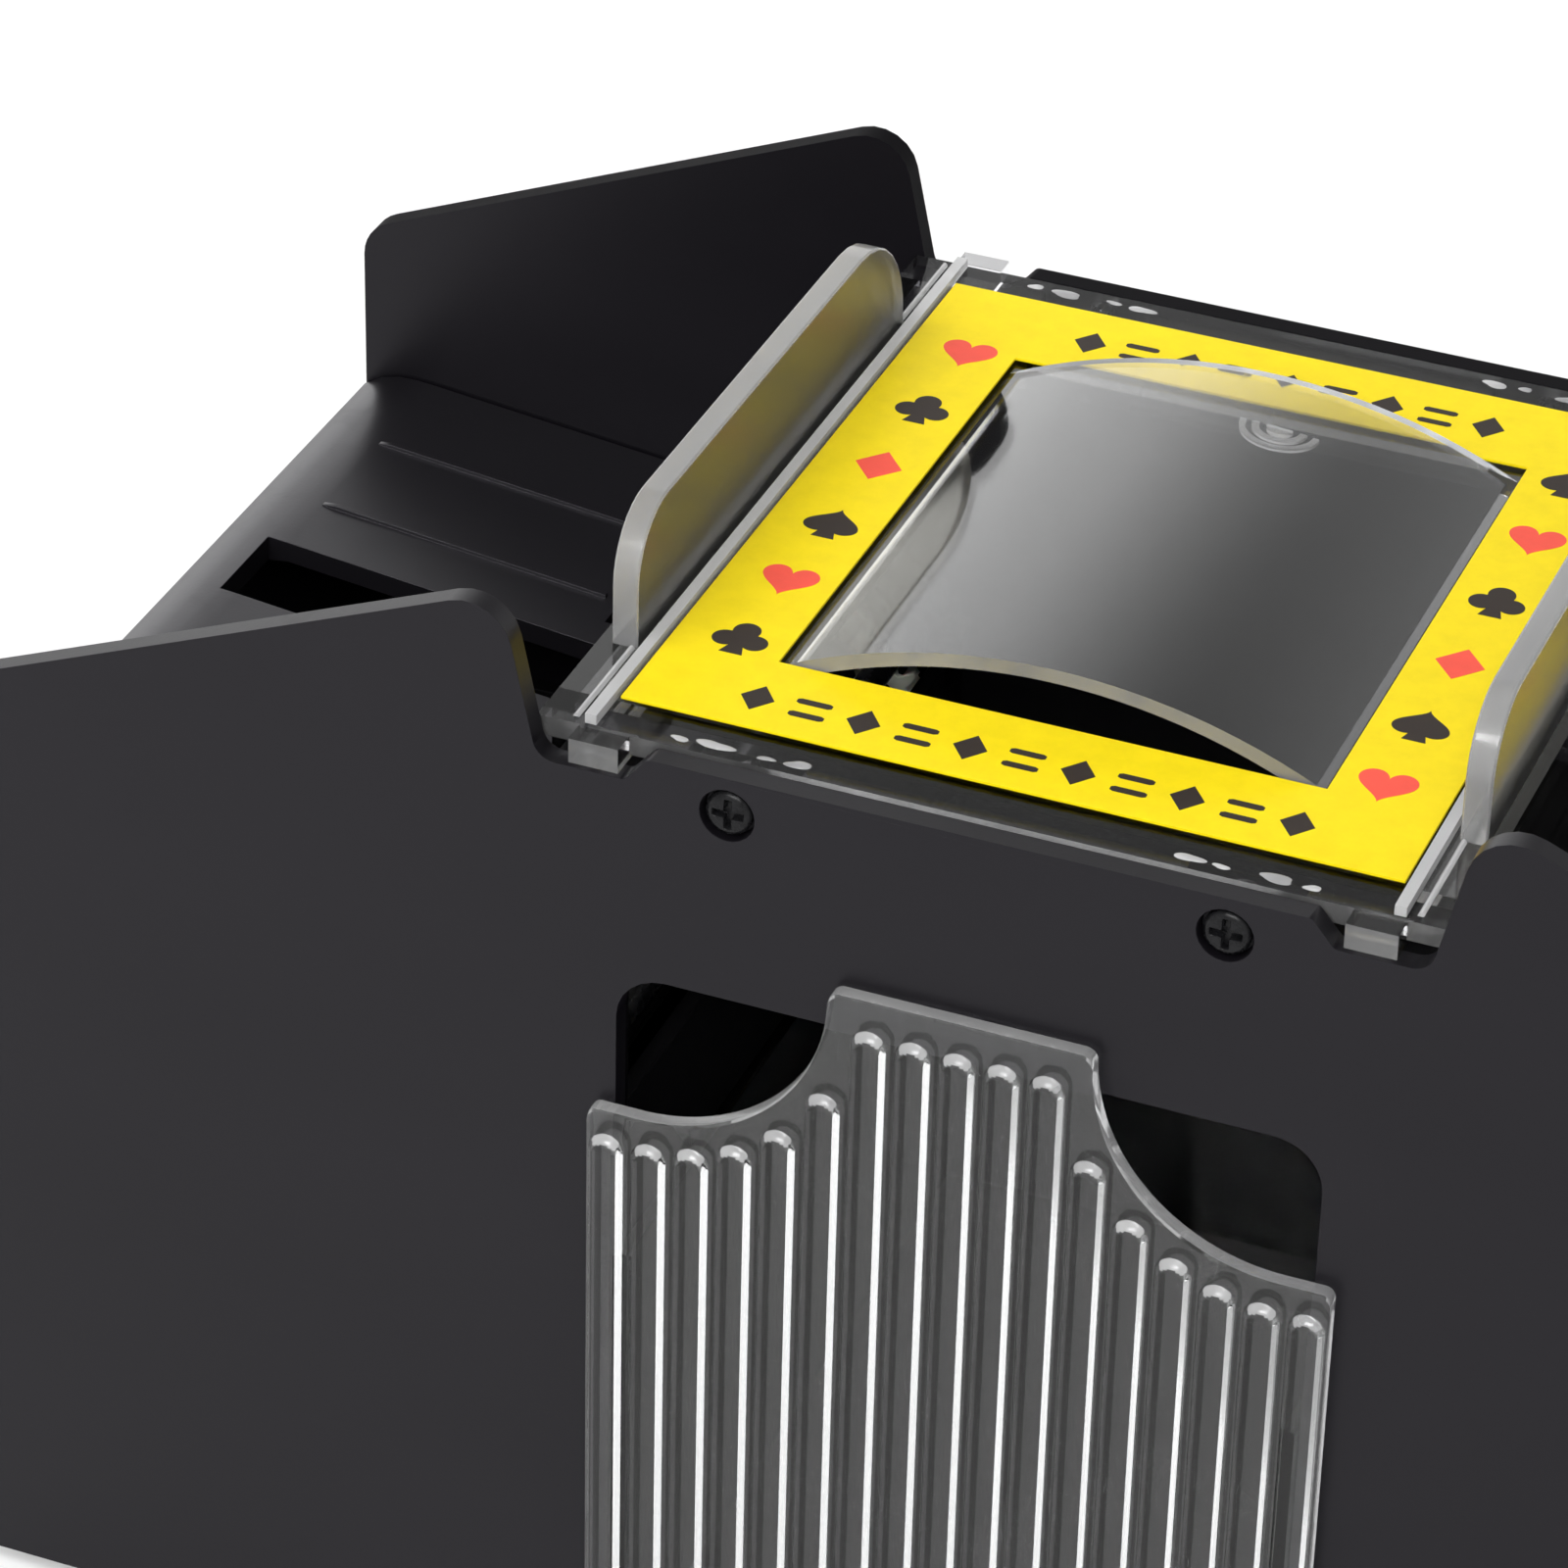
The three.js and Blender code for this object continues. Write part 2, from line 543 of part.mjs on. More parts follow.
function frontOutline() {
  const half = [[SCOOP.x - SCOOP.radius - 0.2, FRONT.top, 1.5]];
  for (let k = 1; k <= 12; k += 1) {
    const angle = Math.PI + (Math.PI / 2) * (k / 12);
    half.push([SCOOP.x + SCOOP.radius * Math.cos(angle), SCOOP.z + SCOOP.radius * Math.sin(angle), 0]);
  }
  half.push([FRONT.x, FRONT.side, 1.2], [FRONT.x, FRONT.z0, 1.2]);
  return rounded(mirrored(half), 3);
}

function drawer() {
  const back = -DEPTH / 2 - GAP;
  const face = back - FRONT.thickness;
  const inner = DRAWER.x - DRAWER.wall;
  const floorTop = DRAWER.z0 + DRAWER.floor;
  const parts = [
    slabY(frontOutline(), face, back),
    block(-DRAWER.x, DRAWER.x, back - 0.5, DRAWER.back, DRAWER.z0, floorTop),
    block(-DRAWER.x, DRAWER.x, DRAWER.back - 1.6, DRAWER.back, DRAWER.z0, DRAWER.top),
  ];
  for (const s of [-1, 1]) {
    parts.push(block(s * inner, s * DRAWER.x, back - 0.5, DRAWER.back, DRAWER.z0, DRAWER.top));
  }
  const root = FRONT.thickness * 0.4;
  const ribSection = [
    [RIB.width / 2, 0], [RIB.flat / 2, -RIB.height], [-RIB.flat / 2, -RIB.height],
    [-RIB.width / 2, 0], [-RIB.width / 2, root], [RIB.width / 2, root],
  ];
  for (let i = 0; i < RIB.count; i += 1) {
    const x = (i - (RIB.count - 1) / 2) * RIB.pitch;
    const onTab = Math.abs(x) < SCOOP.x - SCOOP.radius - RIB.width / 2;
    const top = onTab ? FRONT.top - RIB.topMargin : scoopZ(Math.abs(x), RIB.margin);
    const points = ribSection.map(([u, v]) => new THREE.Vector2(x + u, face + v));
    parts.push(slabZ(points, FRONT.z0 + 0.8, top));
  }
  return join(...parts);
}

// ---- power button and switch -------------------------------------------------------------------

function powerButton() {
  const { x, z, halfX, halfZ, radius, proud } = BUTTON;
  const cap = slabY(rectangle(x - halfX, x + halfX, z - halfZ, z + halfZ, radius),
    -DEPTH / 2 - proud, -INNER_Y + 0.6);
  const flange = slabY(rectangle(x - halfX - 1.2, x + halfX + 1.2, z - halfZ - 1.2, z + halfZ + 1.2, radius),
    -INNER_Y + 0.5, -INNER_Y + 1.9);
  const stem = rodY(x, z, 2.5, -INNER_Y + 1.5, BUTTON.stemEnd, 16);
  return join(cap, flange, stem);
}

function switchBody() {
  const { x, z } = BUTTON;
  const { y0, y1, halfX, halfZ, leg, plunger, bore } = SWITCH;
  const housing = block(x - halfX, x + halfX, y0, y1, z - halfZ, z + halfZ);
  const bracket = block(x - leg, x + leg, y1 - 3, y1, STAND, z);
  const bracketFoot = block(x - leg, x + leg, y0, y1, STAND, STAND + 2);
  const hole = rodY(x, z, plunger + 0.35, y0 - 1, y0 + bore, 16);
  return cut(join(housing, bracket, bracketFoot), hole);
}

function switchPlunger() {
  return rodY(BUTTON.x, BUTTON.z, SWITCH.plunger, BUTTON.stemEnd + GAP, SWITCH.y0 + 1.9, 16);
}

// ---- battery bay -------------------------------------------------------------------------------

function batteryBox() {
  const outer = block(-BAY.x1, -BAY.x0, -BAY.y, BAY.y, STAND, BAY.top);
  const inner = block(-BAY.x1 + BAY.wall, -BAY.x0 - BAY.wall, -BAY.y + BAY.wall, BAY.y - BAY.wall,
    STAND - 1, BAY.top - BAY.wall);
  return cut(outer, inner);
}

// Spring and nub contacts alternate, as the cells lie head to tail in series.
function batteryContact(side) {
  const inside = BAY.y - BAY.wall - GAP;
  const face = inside - CONTACT.thickness;
  const ys = [side * inside, side * face].sort((a, b) => a - b);
  const plate = block(-BAY.x1 + BAY.wall + 0.5, -BAY.x0 - BAY.wall - 0.5, ...ys,
    CONTACT.z0, CONTACT.z1);
  const cells = [0, 1, 2, 3].map((i) => {
    const x = -BAY.x1 + BAY.wall + CELL.pitch * (i + 0.5);
    const { tip, foot, length } = (i % 2 === 0) === (side > 0) ? SPRING : NUB;
    const cone = new THREE.CylinderGeometry(tip, foot, length, 16);
    if (side > 0) cone.rotateX(Math.PI);
    return cone.translate(x, side * (face - length / 2 + 0.05), CELL.z);
  });
  return join(plate, ...cells);
}

function batteryDoor() {
  const end = HALF_LENGTH - 0.1;
  const ledgeTop = FOOT_HEIGHT + DOOR.ledge + GAP;
  const wallInner = HALF_LENGTH - WALL;
  const lower = block(-end, -DOOR.x, -DOOR.lower, DOOR.lower, FOOT_HEIGHT, ledgeTop + 0.1);
  const upper = block(-end, -DOOR.x, -DOOR.upper, DOOR.upper, ledgeTop, BASE_TOP - 0.1);
  const lip = block(-end, -wallInner - 0.1, -DOOR.upper, DOOR.upper, FOOT_HEIGHT, BASE_TOP - 0.1);
  const grips = Array.from({ length: GRIP.count }, (_, i) => {
    const x = i * GRIP.pitch - GRIP.start;
    return block(x, x + GRIP.width, -GRIP.halfLength, GRIP.halfLength,
      FOOT_HEIGHT - 1, FOOT_HEIGHT + GRIP.depth);
  });
  return cut(join(lower, upper, lip), ...grips);
}

// ---- drive, one set at each side ---------------------------------------------------------------

function drive(name, side) {
  const feed = { x: side * FEED.x, z: FEED.z };
  const exit = { x: side * EXIT.x, z: EXIT.z };
  const idler = lowerCorner(feed, exit,
    centreDistance(TEETH.feed, TEETH.idler), centreDistance(TEETH.idler, TEETH.exit));
  const reduction = polar(feed, centreDistance(TEETH.feed, TEETH.small), REDUCTION_ANGLE, side);
  const motor = polar(reduction, centreDistance(TEETH.large, TEETH.motor), MOTOR_ANGLE, side);

  const hub = [
    [SHAFT + 0.15, -33], [4, -33], [4, -FEED.y1], [FEED.rim, -FEED.y1], [FEED.rim, -FEED.y0],
    [4, -FEED.y0], [4, FEED.y0], [FEED.rim, FEED.y0], [FEED.rim, FEED.y1], [4, FEED.y1],
    [4, 33], [SHAFT + 0.15, 33],
  ];
  const ring = (inner, outer, y0, y1) => [[inner, y0], [outer, y0], [outer, y1], [inner, y1]];
  add(`${name}_feed_shaft`, rodY(feed.x, feed.z, SHAFT, -SHAFT_END, SHAFT_END, 12), steel);
  add(`${name}_feed_hub`, turnedY(feed.x, feed.z, hub, 20), framePlastic);
  add(`${name}_feed_tyre_front`,
    turnedY(feed.x, feed.z, ring(FEED.rim + GAP + 0.1, FEED.tyre, -FEED.y1, -FEED.y0), 28), rubber);
  add(`${name}_feed_tyre_rear`,
    turnedY(feed.x, feed.z, ring(FEED.rim + GAP + 0.1, FEED.tyre, FEED.y0, FEED.y1), 28), rubber);
  const feedPhase = 0;
  add(`${name}_feed_gear`, gearY(feed, TEETH.feed, feedPhase, PLANE_A, SHAFT + 0.15), gearPlastic);

  const idlerPhase = meshPhase(feed, idler, TEETH.feed, feedPhase, TEETH.idler);
  add(`${name}_idler_gear`,
    gearY(idler, TEETH.idler, idlerPhase, PLANE_A, POST_RADIUS + 0.25), gearPlastic);

  const exitPhase = meshPhase(idler, exit, TEETH.idler, idlerPhase, TEETH.exit);
  add(`${name}_exit_shaft`, rodY(exit.x, exit.z, SHAFT, -SHAFT_END, SHAFT_END, 12), steel);
  add(`${name}_exit_tyre`,
    turnedY(exit.x, exit.z, ring(SHAFT + 0.3, EXIT.tyre, -EXIT.halfWidth, EXIT.halfWidth), 24), rubber);
  add(`${name}_exit_pinion`, gearY(exit, TEETH.exit, exitPhase, PLANE_A, SHAFT + 0.15), framePlastic);

  const smallPhase = meshPhase(feed, reduction, TEETH.feed, feedPhase, TEETH.small);
  const small = gearY(reduction, TEETH.small, smallPhase, [PLANE_B[1] - 0.2, PLANE_A[1]],
    POST_RADIUS + 0.25);
  const large = gearY(reduction, TEETH.large, 0, PLANE_B, POST_RADIUS + 0.25);
  add(`${name}_reduction_gear`, join(small, large), gearPlastic);

  const pinionPhase = meshPhase(reduction, motor, TEETH.large, 0, TEETH.motor);
  const pinion = slabY(gearOutline(TEETH.motor, pinionPhase), ...PLANE_B).translate(motor.x, 0, motor.z);
  const stub = rodY(motor.x, motor.z, 1, PLANE_B[0] - 0.7, PLANE_B[1] + 0.5, 12);
  add(`${name}_motor_pinion`, join(pinion, stub), steel);

  const face = PLANE_B[0] - 2.7;
  const rear = face - MOTOR.length;
  const can = asSolid(rodY(motor.x, motor.z, MOTOR.radius, rear, face, 32)).intersect(asSolid(
    block(motor.x - MOTOR.radius - 1, motor.x + MOTOR.radius + 1, rear - 1, face + 1,
      motor.z - MOTOR.halfHeight, motor.z + MOTOR.halfHeight)));
  const boss = rodY(motor.x, motor.z, MOTOR.boss, face - 0.5, face + 1.7, 16);
  const cap = rodY(motor.x, motor.z, MOTOR.cap, rear - 2, rear + 0.5, 16);
  add(`${name}_motor`, join(can, boss, cap), motorSteel);

  const { halfWidth, thickness, above } = MOTOR_PLATE;
  const near = face + GAP;
  const plate = block(motor.x - halfWidth, motor.x + halfWidth, near, near + thickness,
    STAND, motor.z + above);
  const foot = block(motor.x - halfWidth + 2, motor.x + halfWidth - 2, near, face + 10,
    STAND, STAND + 2);
  const bore = rodY(motor.x, motor.z, MOTOR.boss + GAP, face - 1, face + 4, 16);
  add(`${name}_motor_bracket`, cut(join(plate, foot), bore), framePlastic);
  return { idler, reduction };
}

// ---- assembly ----------------------------------------------------------------------------------

const train = [drive('left', -1), drive('right', 1)];

add('front_panel', frontPanel(), blackPlastic);
add('rear_panel', panel(1), blackPlastic);
add('left_tray', tray(-1), blackPlastic);
add('right_tray', tray(1), blackPlastic);
add('base_plate', basePlate(), blackPlastic);
add('front_frame', frontFrame(), framePlastic);
add('left_bulkhead', bulkhead(-1), framePlastic);
add('right_bulkhead', bulkhead(1), framePlastic);

const axles = train.flatMap(({ idler, reduction }) => [
  rodY(idler.x, idler.z, POST_RADIUS, PLANE_A[0] - 0.4, FRAME.y0 + 1, 12),
  rodY(reduction.x, reduction.z, POST_RADIUS, PLANE_B[0] - 0.3, FRAME.y0 + 1, 12),
]);
add('rear_frame', join(frame(1).plate, ...axles), framePlastic);

add('top_cover', topCover(), clearPlastic);
add('label', label(), labelInk);
add('drawer', drawer(), clearPlastic);
add('power_button', powerButton(), blackPlastic);
add('switch_body', switchBody(), framePlastic);
add('switch_plunger', switchPlunger(), gearPlastic);
add('battery_box', batteryBox(), framePlastic);
add('battery_contact_front', batteryContact(-1), steel);
add('battery_contact_rear', batteryContact(1), steel);
add('battery_door', batteryDoor(), blackPlastic);

FEET.forEach(([x, y], i) => {
  add(`foot_${i + 1}`, rodZ(x, y, FOOT_RADIUS, 0, 2, 20), rubber);
});

const CORNERS = [[-1, -1], [1, -1], [-1, 1], [1, 1]];
CORNERS.forEach(([sx, sy], i) => {
  const part = add(`cover_screw_${i + 1}`, screw(COVER_SCREW, 1.0, 3.6), blackSteel);
  part.rotation.x = (-sy * Math.PI) / 2;
  part.position.set(sx * COVER_SCREW.x, sy * (DEPTH / 2 - 0.1), COVER_SCREW.z);
});

CORNERS.forEach(([sx, sy], i) => {
  const part = add(`base_screw_${i + 1}`, screw(BASE_SCREW, 1.2, 9), blackSteel);
  part.rotation.x = Math.PI;
  part.position.set(sx * POST.x, sy * POST.y, FOOT_HEIGHT + 0.1);
});

export default group;
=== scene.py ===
"""Looks for the automatic card shuffler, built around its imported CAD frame.

The scene is in metres. Most named sizes are in millimetres, and are multiplied by MM in use.
"""
import json
import math

import bmesh
import bpy
from mathutils import Matrix, Vector


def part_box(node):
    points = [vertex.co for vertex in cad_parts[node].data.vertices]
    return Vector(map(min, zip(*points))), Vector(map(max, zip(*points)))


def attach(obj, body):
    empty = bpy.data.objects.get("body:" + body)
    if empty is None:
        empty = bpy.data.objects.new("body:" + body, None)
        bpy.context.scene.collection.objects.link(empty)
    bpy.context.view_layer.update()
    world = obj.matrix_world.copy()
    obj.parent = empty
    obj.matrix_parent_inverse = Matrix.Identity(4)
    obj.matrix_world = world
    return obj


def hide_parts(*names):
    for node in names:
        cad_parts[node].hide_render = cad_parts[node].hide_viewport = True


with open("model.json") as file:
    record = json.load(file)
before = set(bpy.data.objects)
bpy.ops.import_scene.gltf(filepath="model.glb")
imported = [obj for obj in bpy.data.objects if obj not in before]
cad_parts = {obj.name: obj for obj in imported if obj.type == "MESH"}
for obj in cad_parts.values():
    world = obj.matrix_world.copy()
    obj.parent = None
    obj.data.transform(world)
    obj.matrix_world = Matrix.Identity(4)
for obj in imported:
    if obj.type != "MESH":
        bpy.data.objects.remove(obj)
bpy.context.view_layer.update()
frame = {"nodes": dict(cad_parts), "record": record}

MM = 0.001

NODES = frame["nodes"]
BODY_OF = {n: b for b, members in frame["record"]["behaviour"]["bodies"].items() for n in members}
SLOT_OF = {s["node"]: s["material_slot"] for s in frame["record"]["subparts"]}

label_lo, label_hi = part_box("label")
MID_Y = (label_lo.y + label_hi.y) / 2      # the middle of the body, front to back
DECK = label_hi.z                          # the printed surface


# ---- node helpers ----------------------------------------------------------

class Shader:
    """A node material around one Principled shader, in object coordinates."""

    def __init__(self, name):
        self.material = bpy.data.materials.new(name)
        self.material.use_nodes = True
        self.tree = self.material.node_tree
        self.tree.nodes.clear()
        self.out = self.node("ShaderNodeOutputMaterial")
        self.main = self.node("ShaderNodeBsdfPrincipled")
        self.link(self.main.outputs["BSDF"], self.out.inputs["Surface"])
        self.coords = self.node("ShaderNodeTexCoord").outputs["Object"]

    def node(self, kind, **settings):
        made = self.tree.nodes.new(kind)
        for key, value in settings.items():
            setattr(made, key, value)
        return made

    def link(self, source, target):
        self.tree.links.new(source, target)

    def set(self, **values):
        """Sets sockets of the shader; an underscore stands for a space in a socket's name."""
        for key, value in values.items():
            socket = self.main.inputs[key.replace("_", " ")]
            socket.default_value = (*value, 1.0) if isinstance(value, tuple) else value
        return self

    def stretched(self, scale):
        mapping = self.node("ShaderNodeMapping")
        mapping.inputs["Scale"].default_value = scale
        self.link(self.coords, mapping.inputs["Vector"])
        return mapping.outputs["Vector"]

    def noise(self, scale, detail=3.0, roughness=0.55, stretch=None, distortion=0.0):
        made = self.node("ShaderNodeTexNoise")
        made.inputs["Scale"].default_value = scale
        made.inputs["Detail"].default_value = detail
        made.inputs["Roughness"].default_value = roughness
        made.inputs["Distortion"].default_value = distortion
        self.link(self.stretched(stretch) if stretch else self.coords, made.inputs["Vector"])
        return made.outputs["Fac"]

    def ramp(self, source, stops):
        made = self.node("ShaderNodeValToRGB")
        ramp = made.color_ramp
        while len(ramp.elements) < len(stops):
            ramp.elements.new(0.5)
        for element, (position, colour) in zip(ramp.elements, stops):
            element.position = position
            value = colour if isinstance(colour, tuple) else (colour,) * 3
            element.color = (*value, 1.0)
        self.link(source, made.inputs["Fac"])
        return made.outputs["Color"]

    def remap(self, source, low, high, from_low=0.3, from_high=0.7):
        made = self.node("ShaderNodeMapRange")
        made.inputs["From Min"].default_value = from_low
        made.inputs["From Max"].default_value = from_high
        made.inputs["To Min"].default_value = low
        made.inputs["To Max"].default_value = high
        self.link(source, made.inputs["Value"])
        return made.outputs["Result"]

    def add(self, *sources):
        total = sources[0]
        for source in sources[1:]:
            made = self.node("ShaderNodeMath", operation="ADD")
            self.link(total, made.inputs[0])
            self.link(source, made.inputs[1])
            total = made.outputs[0]
        return total

    def times(self, source, factor):
        made = self.node("ShaderNodeMath", operation="MULTIPLY")
        self.link(source, made.inputs[0])
        made.inputs[1].default_value = factor
        return made.outputs[0]

    def colour(self, source):
        self.link(source, self.main.inputs["Base Color"])
        return self

    def roughness(self, source):
        self.link(source, self.main.inputs["Roughness"])
        return self

    def bump(self, source, distance):
        made = self.node("ShaderNodeBump")
        made.inputs["Distance"].default_value = distance
        self.link(source, made.inputs["Height"])
        self.link(made.outputs["Normal"], self.main.inputs["Normal"])
        return self


SHEEN_TINT = (0.95, 0.93, 1.0)             # the cool sheen of the black plastic


def moulded_black(name, base, roughness, grain, specular):
    """Satin moulded plastic: a fine spark-eroded grain, soft flow marks and light handling wear."""
    s = Shader(name)
    flow = s.noise(14.0, roughness=0.5, stretch=(1.0, 1.0, 2.2))
    fine = s.noise(2600.0, detail=2.0, roughness=0.6)
    wear = s.noise(160.0, detail=6.0, roughness=0.7, distortion=0.8)
    low = tuple(c * 0.86 for c in base)
    high = tuple(c * 1.16 for c in base)
    s.colour(s.ramp(flow, [(0.3, low), (0.7, high)]))
    s.roughness(s.add(s.remap(flow, roughness - 0.03, roughness + 0.03),
                      s.remap(wear, 0.0, 0.05, from_low=0.52, from_high=0.72)))
    s.bump(s.add(fine, s.times(wear, 0.35)), grain)
    s.set(Specular_IOR_Level=specular, Specular_Tint=SHEEN_TINT, IOR=1.5)
    return s.material


def clear_moulding(name, tint, roughness, ripple, ior=1.49):
    """Clear polystyrene: flow ripples, a few fine handling scratches."""
    s = Shader(name)
    flow = s.noise(60.0, detail=2.0, roughness=0.5, stretch=(1.0, 1.0, 0.5))
    scratch = s.noise(420.0, detail=4.0, roughness=0.75, stretch=(1.0, 0.06, 1.0), distortion=0.4)
    s.colour(s.ramp(flow, [(0.35, tint), (0.65, tuple(min(1.0, c * 1.015) for c in tint))]))
    s.roughness(s.add(s.remap(flow, roughness, roughness + 0.015),
                      s.remap(scratch, 0.0, 0.09, from_low=0.66, from_high=0.78)))
    s.bump(s.add(flow, s.times(scratch, 0.04)), ripple)
    s.set(Transmission_Weight=1.0, IOR=ior)
    return s.material


def clear_with_painted_light(name, transmission, dark, pale):
    """The rims and rails of the clear moulding, which gather light and look pale: painted
    highlights in a pale base colour, or painted shade in a dark one.
    """
    s = Shader(name)
    cloud = s.noise(70.0, stretch=(1.0, 0.3, 1.0))
    grain = s.noise(500.0, detail=2.0, roughness=0.5, stretch=(1.0, 0.15, 1.0))
    s.colour(s.ramp(cloud, [(0.34, (dark, dark, dark * 1.02)), (0.62, (pale, pale, pale))]))
    s.roughness(s.remap(grain, 0.14, 0.26))
    s.bump(s.add(cloud, s.times(grain, 0.1)), 0.006 * MM)
    s.set(Transmission_Weight=transmission, IOR=1.49)
    return s.material


def printed_film(name, ink):
    """Screen-printed ink on film: slight mottle and a waxy gloss."""
    s = Shader(name)
    mottle = s.noise(340.0, detail=5.0, roughness=0.65)
    sheet = s.noise(18.0, detail=2.0, roughness=0.5)
    dark = tuple(c * 0.93 for c in ink)
    lift = tuple(min(1.0, c * 1.04 + 0.002) for c in ink)
    s.colour(s.ramp(s.add(s.times(mottle, 0.5), s.times(sheet, 0.5)), [(0.38, dark), (0.62, lift)]))
    s.roughness(s.remap(mottle, 0.30, 0.40))
    s.bump(s.add(mottle, s.times(sheet, 2.0)), 0.012 * MM)
    s.set(Specular_IOR_Level=0.07, IOR=1.48)
    return s.material


def rubber_compound(name):
    """Black rubber with fine pores and a little dust."""
    s = Shader(name)
    pores = s.noise(1500.0, roughness=0.7)
    dust = s.noise(90.0, detail=5.0, roughness=0.7, distortion=0.6)
    s.colour(s.ramp(dust, [(0.42, (0.004, 0.004, 0.0042)), (0.72, (0.011, 0.0107, 0.0104))]))
    s.roughness(s.remap(dust, 0.72, 0.9))
    s.bump(pores, 0.06 * MM)
    s.set(Specular_IOR_Level=0.1, IOR=1.5)
    return s.material


def gear_resin(name):
    """Natural acetal with smears of grease."""
    s = Shader(name)
    flow = s.noise(220.0, detail=4.0, roughness=0.6)
    grease = s.noise(130.0, detail=5.0, roughness=0.65, distortion=1.2)
    body = s.ramp(flow, [(0.35, (0.70, 0.68, 0.60)), (0.65, (0.79, 0.77, 0.69))])
    mix = s.node("ShaderNodeMix", data_type="RGBA")
    s.link(s.remap(grease, 0.0, 0.4, from_low=0.56, from_high=0.74), mix.inputs["Factor"])
    s.link(body, mix.inputs["A"])
    mix.inputs["B"].default_value = (0.45, 0.40, 0.30, 1.0)
    s.colour(mix.outputs["Result"])
    s.roughness(s.remap(grease, 0.42, 0.2, from_low=0.5, from_high=0.74))
    s.bump(flow, 0.02 * MM)
    s.set(Subsurface_Weight=0.12, Subsurface_Scale=0.4 * MM, IOR=1.48)
    return s.material


def worked_metal(name, colour, roughness, stretch, grain=0.02 * MM):
    """Drawn, rolled or plated metal with marks along one direction."""
    s = Shader(name)
    lines = s.noise(900.0, detail=4.0, roughness=0.6, stretch=stretch)
    tarnish = s.noise(70.0, detail=4.0, roughness=0.6)
    dark = tuple(c * 0.82 for c in colour)
    s.colour(s.ramp(tarnish, [(0.35, dark), (0.65, colour)]))
    s.roughness(s.add(s.remap(lines, roughness - 0.06, roughness + 0.08),
                      s.remap(tarnish, 0.06, 0.0, from_low=0.4, from_high=0.6)))
    s.bump(lines, grain)
    s.set(Metallic=1.0)
    return s.material


def black_oxide(name):
    """Blackened steel, worn a little paler in places."""
    s = Shader(name)
    worn = s.noise(700.0, detail=5.0, roughness=0.7)
    s.colour(s.ramp(worn, [(0.35, (0.003, 0.003, 0.0035)), (0.75, (0.012, 0.012, 0.013))]))
    s.roughness(s.remap(worn, 0.2, 0.34))
    s.bump(worn, 0.02 * MM)
    s.set(Specular_IOR_Level=0.16)
    return s.material


MATERIALS = {
    "black_plastic": moulded_black("satin_black_moulding", (0.0046, 0.0041, 0.0054),
                                   roughness=0.34, grain=0.007 * MM, specular=0.24),
    "clear_plastic": clear_moulding("clear_moulding", (0.955, 0.965, 0.965),
                                    roughness=0.02, ripple=0.005 * MM),
    "printed_label": printed_film("yellow_print", (0.86, 0.665, 0.006)),
    "frame_plastic": moulded_black("matt_frame_moulding", (0.0022, 0.0021, 0.0024),
                                   roughness=0.6, grain=0.02 * MM, specular=0.07),
    "gear_plastic": gear_resin("acetal"),
    "rubber": rubber_compound("rubber"),
    "steel": worked_metal("drawn_steel", (0.60, 0.61, 0.63),
                          roughness=0.28, stretch=(1.0, 0.03, 1.0)),
    "black_steel": black_oxide("black_screw_steel"),
    "motor_steel": worked_metal("plated_can", (0.62, 0.63, 0.64),
                                roughness=0.33, stretch=(0.6, 1.0, 0.6), grain=0.01 * MM),
}
TRAY_BLACK = moulded_black("satin_tray_moulding", (0.0052, 0.0047, 0.006),
                           roughness=0.34, grain=0.007 * MM, specular=0.7)
# A darker, duller copy of the panel black for the rear panel's edge faces: painted shade.
BLACK_EDGE_PAINTED_SHADE = moulded_black("black_edge_painted_shade", (0.0036, 0.0033, 0.0042),
                              roughness=0.58, grain=0.01 * MM, specular=0.04)
# The clear mouldings: a lower index weakens the reflections of the fins and of the thin walls. The
# fin sides get a darker, warmer tint than the rest of the same moulding: painted shade.
CLEAR_COVER = clear_moulding("clear_cover_moulding", (0.955, 0.96, 0.965),
                             roughness=0.045, ripple=0.001 * MM)
CLEAR_FIN_PAINTED_SHADE = clear_moulding("clear_fin_moulding_painted_shade", (0.78, 0.77, 0.72),
                           roughness=0.30, ripple=0.006 * MM, ior=1.24)
CLEAR_FLANGE = clear_moulding("clear_flange_moulding", (0.94, 0.94, 0.95),
                              roughness=0.06, ripple=0.002 * MM, ior=1.22)
# Pale edge look: a painted highlight on the fin edges, the arch ends, the gate mark and the
# drawer's edges.
CLEAR_EDGE_PAINTED_HIGHLIGHT = clear_with_painted_light("clear_moulding_edge_painted_highlight", transmission=0.75, dark=0.66, pale=0.86)
# Pale rail look: a painted highlight on the rails and the corner ridges.
CLEAR_RAIL_PAINTED_HIGHLIGHT = clear_with_painted_light("clear_moulding_rail_painted_highlight", transmission=0.5, dark=0.65, pale=0.9)
# Pale crest look: a painted highlight on the upward faces of the rib ends.
CLEAR_CREST_PAINTED_HIGHLIGHT = clear_with_painted_light("clear_moulding_crest_painted_highlight", transmission=0.7, dark=0.6, pale=0.92)
# Dark rim look: painted shade on the front faces of the cover's rim.
CLEAR_RIM_PAINTED_SHADE = clear_with_painted_light("clear_moulding_rim_painted_shade", transmission=0.6, dark=0.1, pale=0.24)
# Pale mark look: painted highlights over the ends of the screw tabs.
CLEAR_MARK_PAINTED_HIGHLIGHT = clear_with_painted_light("clear_moulding_mark_painted_highlight", transmission=0.45, dark=0.3, pale=0.95)
RED_INK = printed_film("red_print", (0.84, 0.096, 0.066))
BLACK_INK = printed_film("black_print", (0.034, 0.026, 0.022))
TINNED_BRASS = worked_metal("tinned_brass", (0.78, 0.62, 0.34),
                            roughness=0.3, stretch=(1.0, 1.0, 0.1))


